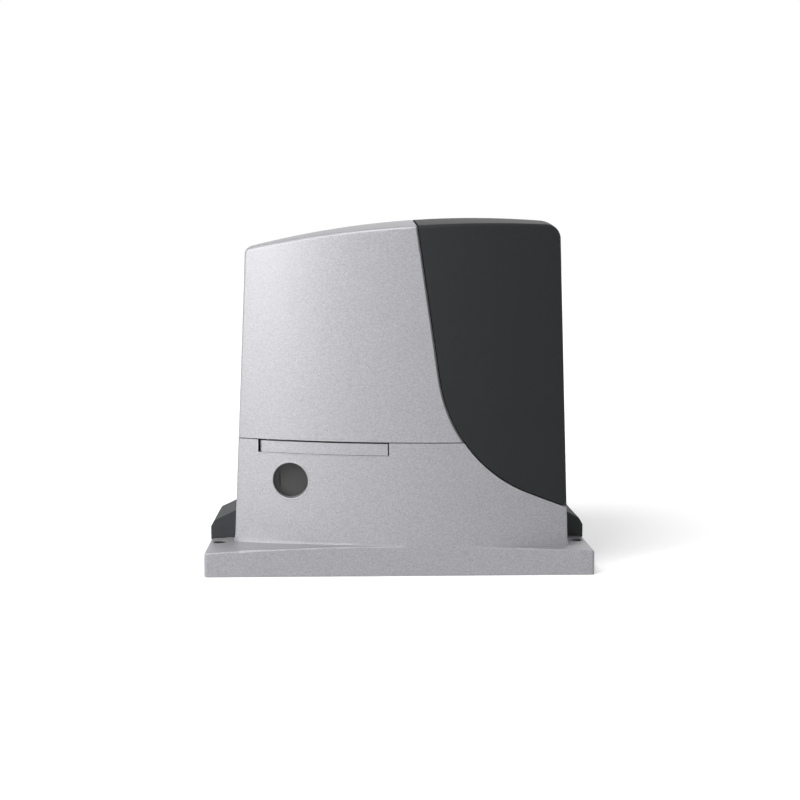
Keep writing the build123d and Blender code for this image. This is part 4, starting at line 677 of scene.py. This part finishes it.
coil_x = pivot_x + SPRING_RADIUS * np.cos(coil_turn)
coil_y = SPRING_START + coil_turn / (2 * pi) * SPRING_PITCH
coil_z = pivot_z + SPRING_RADIUS * np.sin(coil_turn)
coil = np.stack([coil_x, coil_y, coil_z], axis=-1)
joined("limit_spring", wire(coil / 1000, SPRING_WIRE / 1000), "steel", "limit")

# %% [markdown]
# ## Parts on the board
#
# Relays and the fuse block are moulded blocks with soft edges. The smoothing
# capacitors are drawn cans: a turned profile with the crimp ring near the
# board, a domed rim and a slightly sunk top. The radio module is a second,
# thinner board, and the heat sink a plain bar of aluminium.

# %% Fit the board
board_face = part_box("control_board")[0][1] * 1000
BLOCK_ROUND = 0.9
BLOCKS = (
    ("first_relay", (-88, 178, 16, 12, 20), "component_black"),
    ("second_relay", (-68, 178, 16, 12, 20), "component_black"),
    ("fuse_block", (-88, 206, 26, 9, 10), "component_black"),
    ("radio_module", (-46, 180, 22, 4, 22), "board_green"),
    ("heat_sink", (-14, 176, 9, 14, 30), "aluminium"),
)
for name, (x, z, width, depth, height), slot_name in BLOCKS:
    low, high = (x, board_face - depth, z), (x + width, board_face, z + height)
    stands_for = ("board_components",) if name == "first_relay" else ()
    joined(name, soft_block(low, high, BLOCK_ROUND), slot_name, "base", stands_for=stands_for)
CAN_RADIUS, CAN_DEPTH = 6, 15
CRIMP = [(0, 0), (0, 1.6), (-0.5, 2.1), (-0.5, 2.5), (0, 3.0)]
RIM = [(0, -0.8), (-0.3, -0.2), (-0.9, 0), (-1.3, -0.35), (0.4 - CAN_RADIUS, -0.4)]
profile = CRIMP + [(inward, CAN_DEPTH + along) for inward, along in RIM]
can = [(CAN_RADIUS + inward, board_face - along) for inward, along in profile]
for name, x, z in (("first_capacitor", -34, 210), ("second_capacitor", -50, 212)):
    joined(name, turned(can, (x, 0, z), 1, 40), "black_plastic", "base")

# %% [markdown]
# ## The armature's wire
#
# Copper wire leaves each slot of the armature, crosses the end of the core
# and dips into a slot on the far side. Seen from outside the bundle is a ring
# of bulges, so its radius swells and sinks with the angle, ten times a turn,
# while finer ridges run along it for the single wires.

# %% Wind the armature
core_low, core_high = (np.array(corner) * 1000 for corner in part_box("motor_armature"))
core_x, core_y = (core_low[:2] + core_high[:2]) / 2
END_LENGTH, END_RADIUS, SHAFT_RADIUS, END_PROUD = 6.0, 17.0, 5.2, 0.4
SLOTS, SLOT_SWELL, RIDGES, RIDGE_SWELL, RIDGE_TWIST, SQUARENESS = 10, 0.35, 90, 0.12, 3, 0.6
round_turn = np.linspace(0, 2 * pi, 240, endpoint=False)
around_end = np.linspace(0, 2 * pi, 30, endpoint=False)[:, None]


def squared(wave):
    """A wave from -1 to 1 made squarer: sign(wave) |wave|^SQUARENESS."""
    return np.sign(wave) * np.abs(wave) ** SQUARENESS


swell = SLOT_SWELL * np.cos(SLOTS * round_turn)
swell = swell + RIDGE_SWELL * np.cos(RIDGES * round_turn + RIDGE_TWIST * around_end)
thick = (END_RADIUS - SHAFT_RADIUS) / 2
out = SHAFT_RADIUS + thick + (thick + swell) * squared(np.cos(around_end))
up = (END_LENGTH / 2 + END_PROUD + swell / 2) * squared(np.sin(around_end))
bundle = np.stack([out * np.cos(round_turn), out * np.sin(round_turn), up], axis=-1)
ends = {"lower": core_low[2] + END_LENGTH / 2, "upper": core_high[2] - END_LENGTH / 2}
for word, middle_z in ends.items():
    winding = (bundle + np.array([core_x, core_y, middle_z])) / 1000
    joined(word + "_winding", winding, "copper", "rotor", loop_rows=True)

# %% Update the scene and finish
bpy.context.view_layer.update()
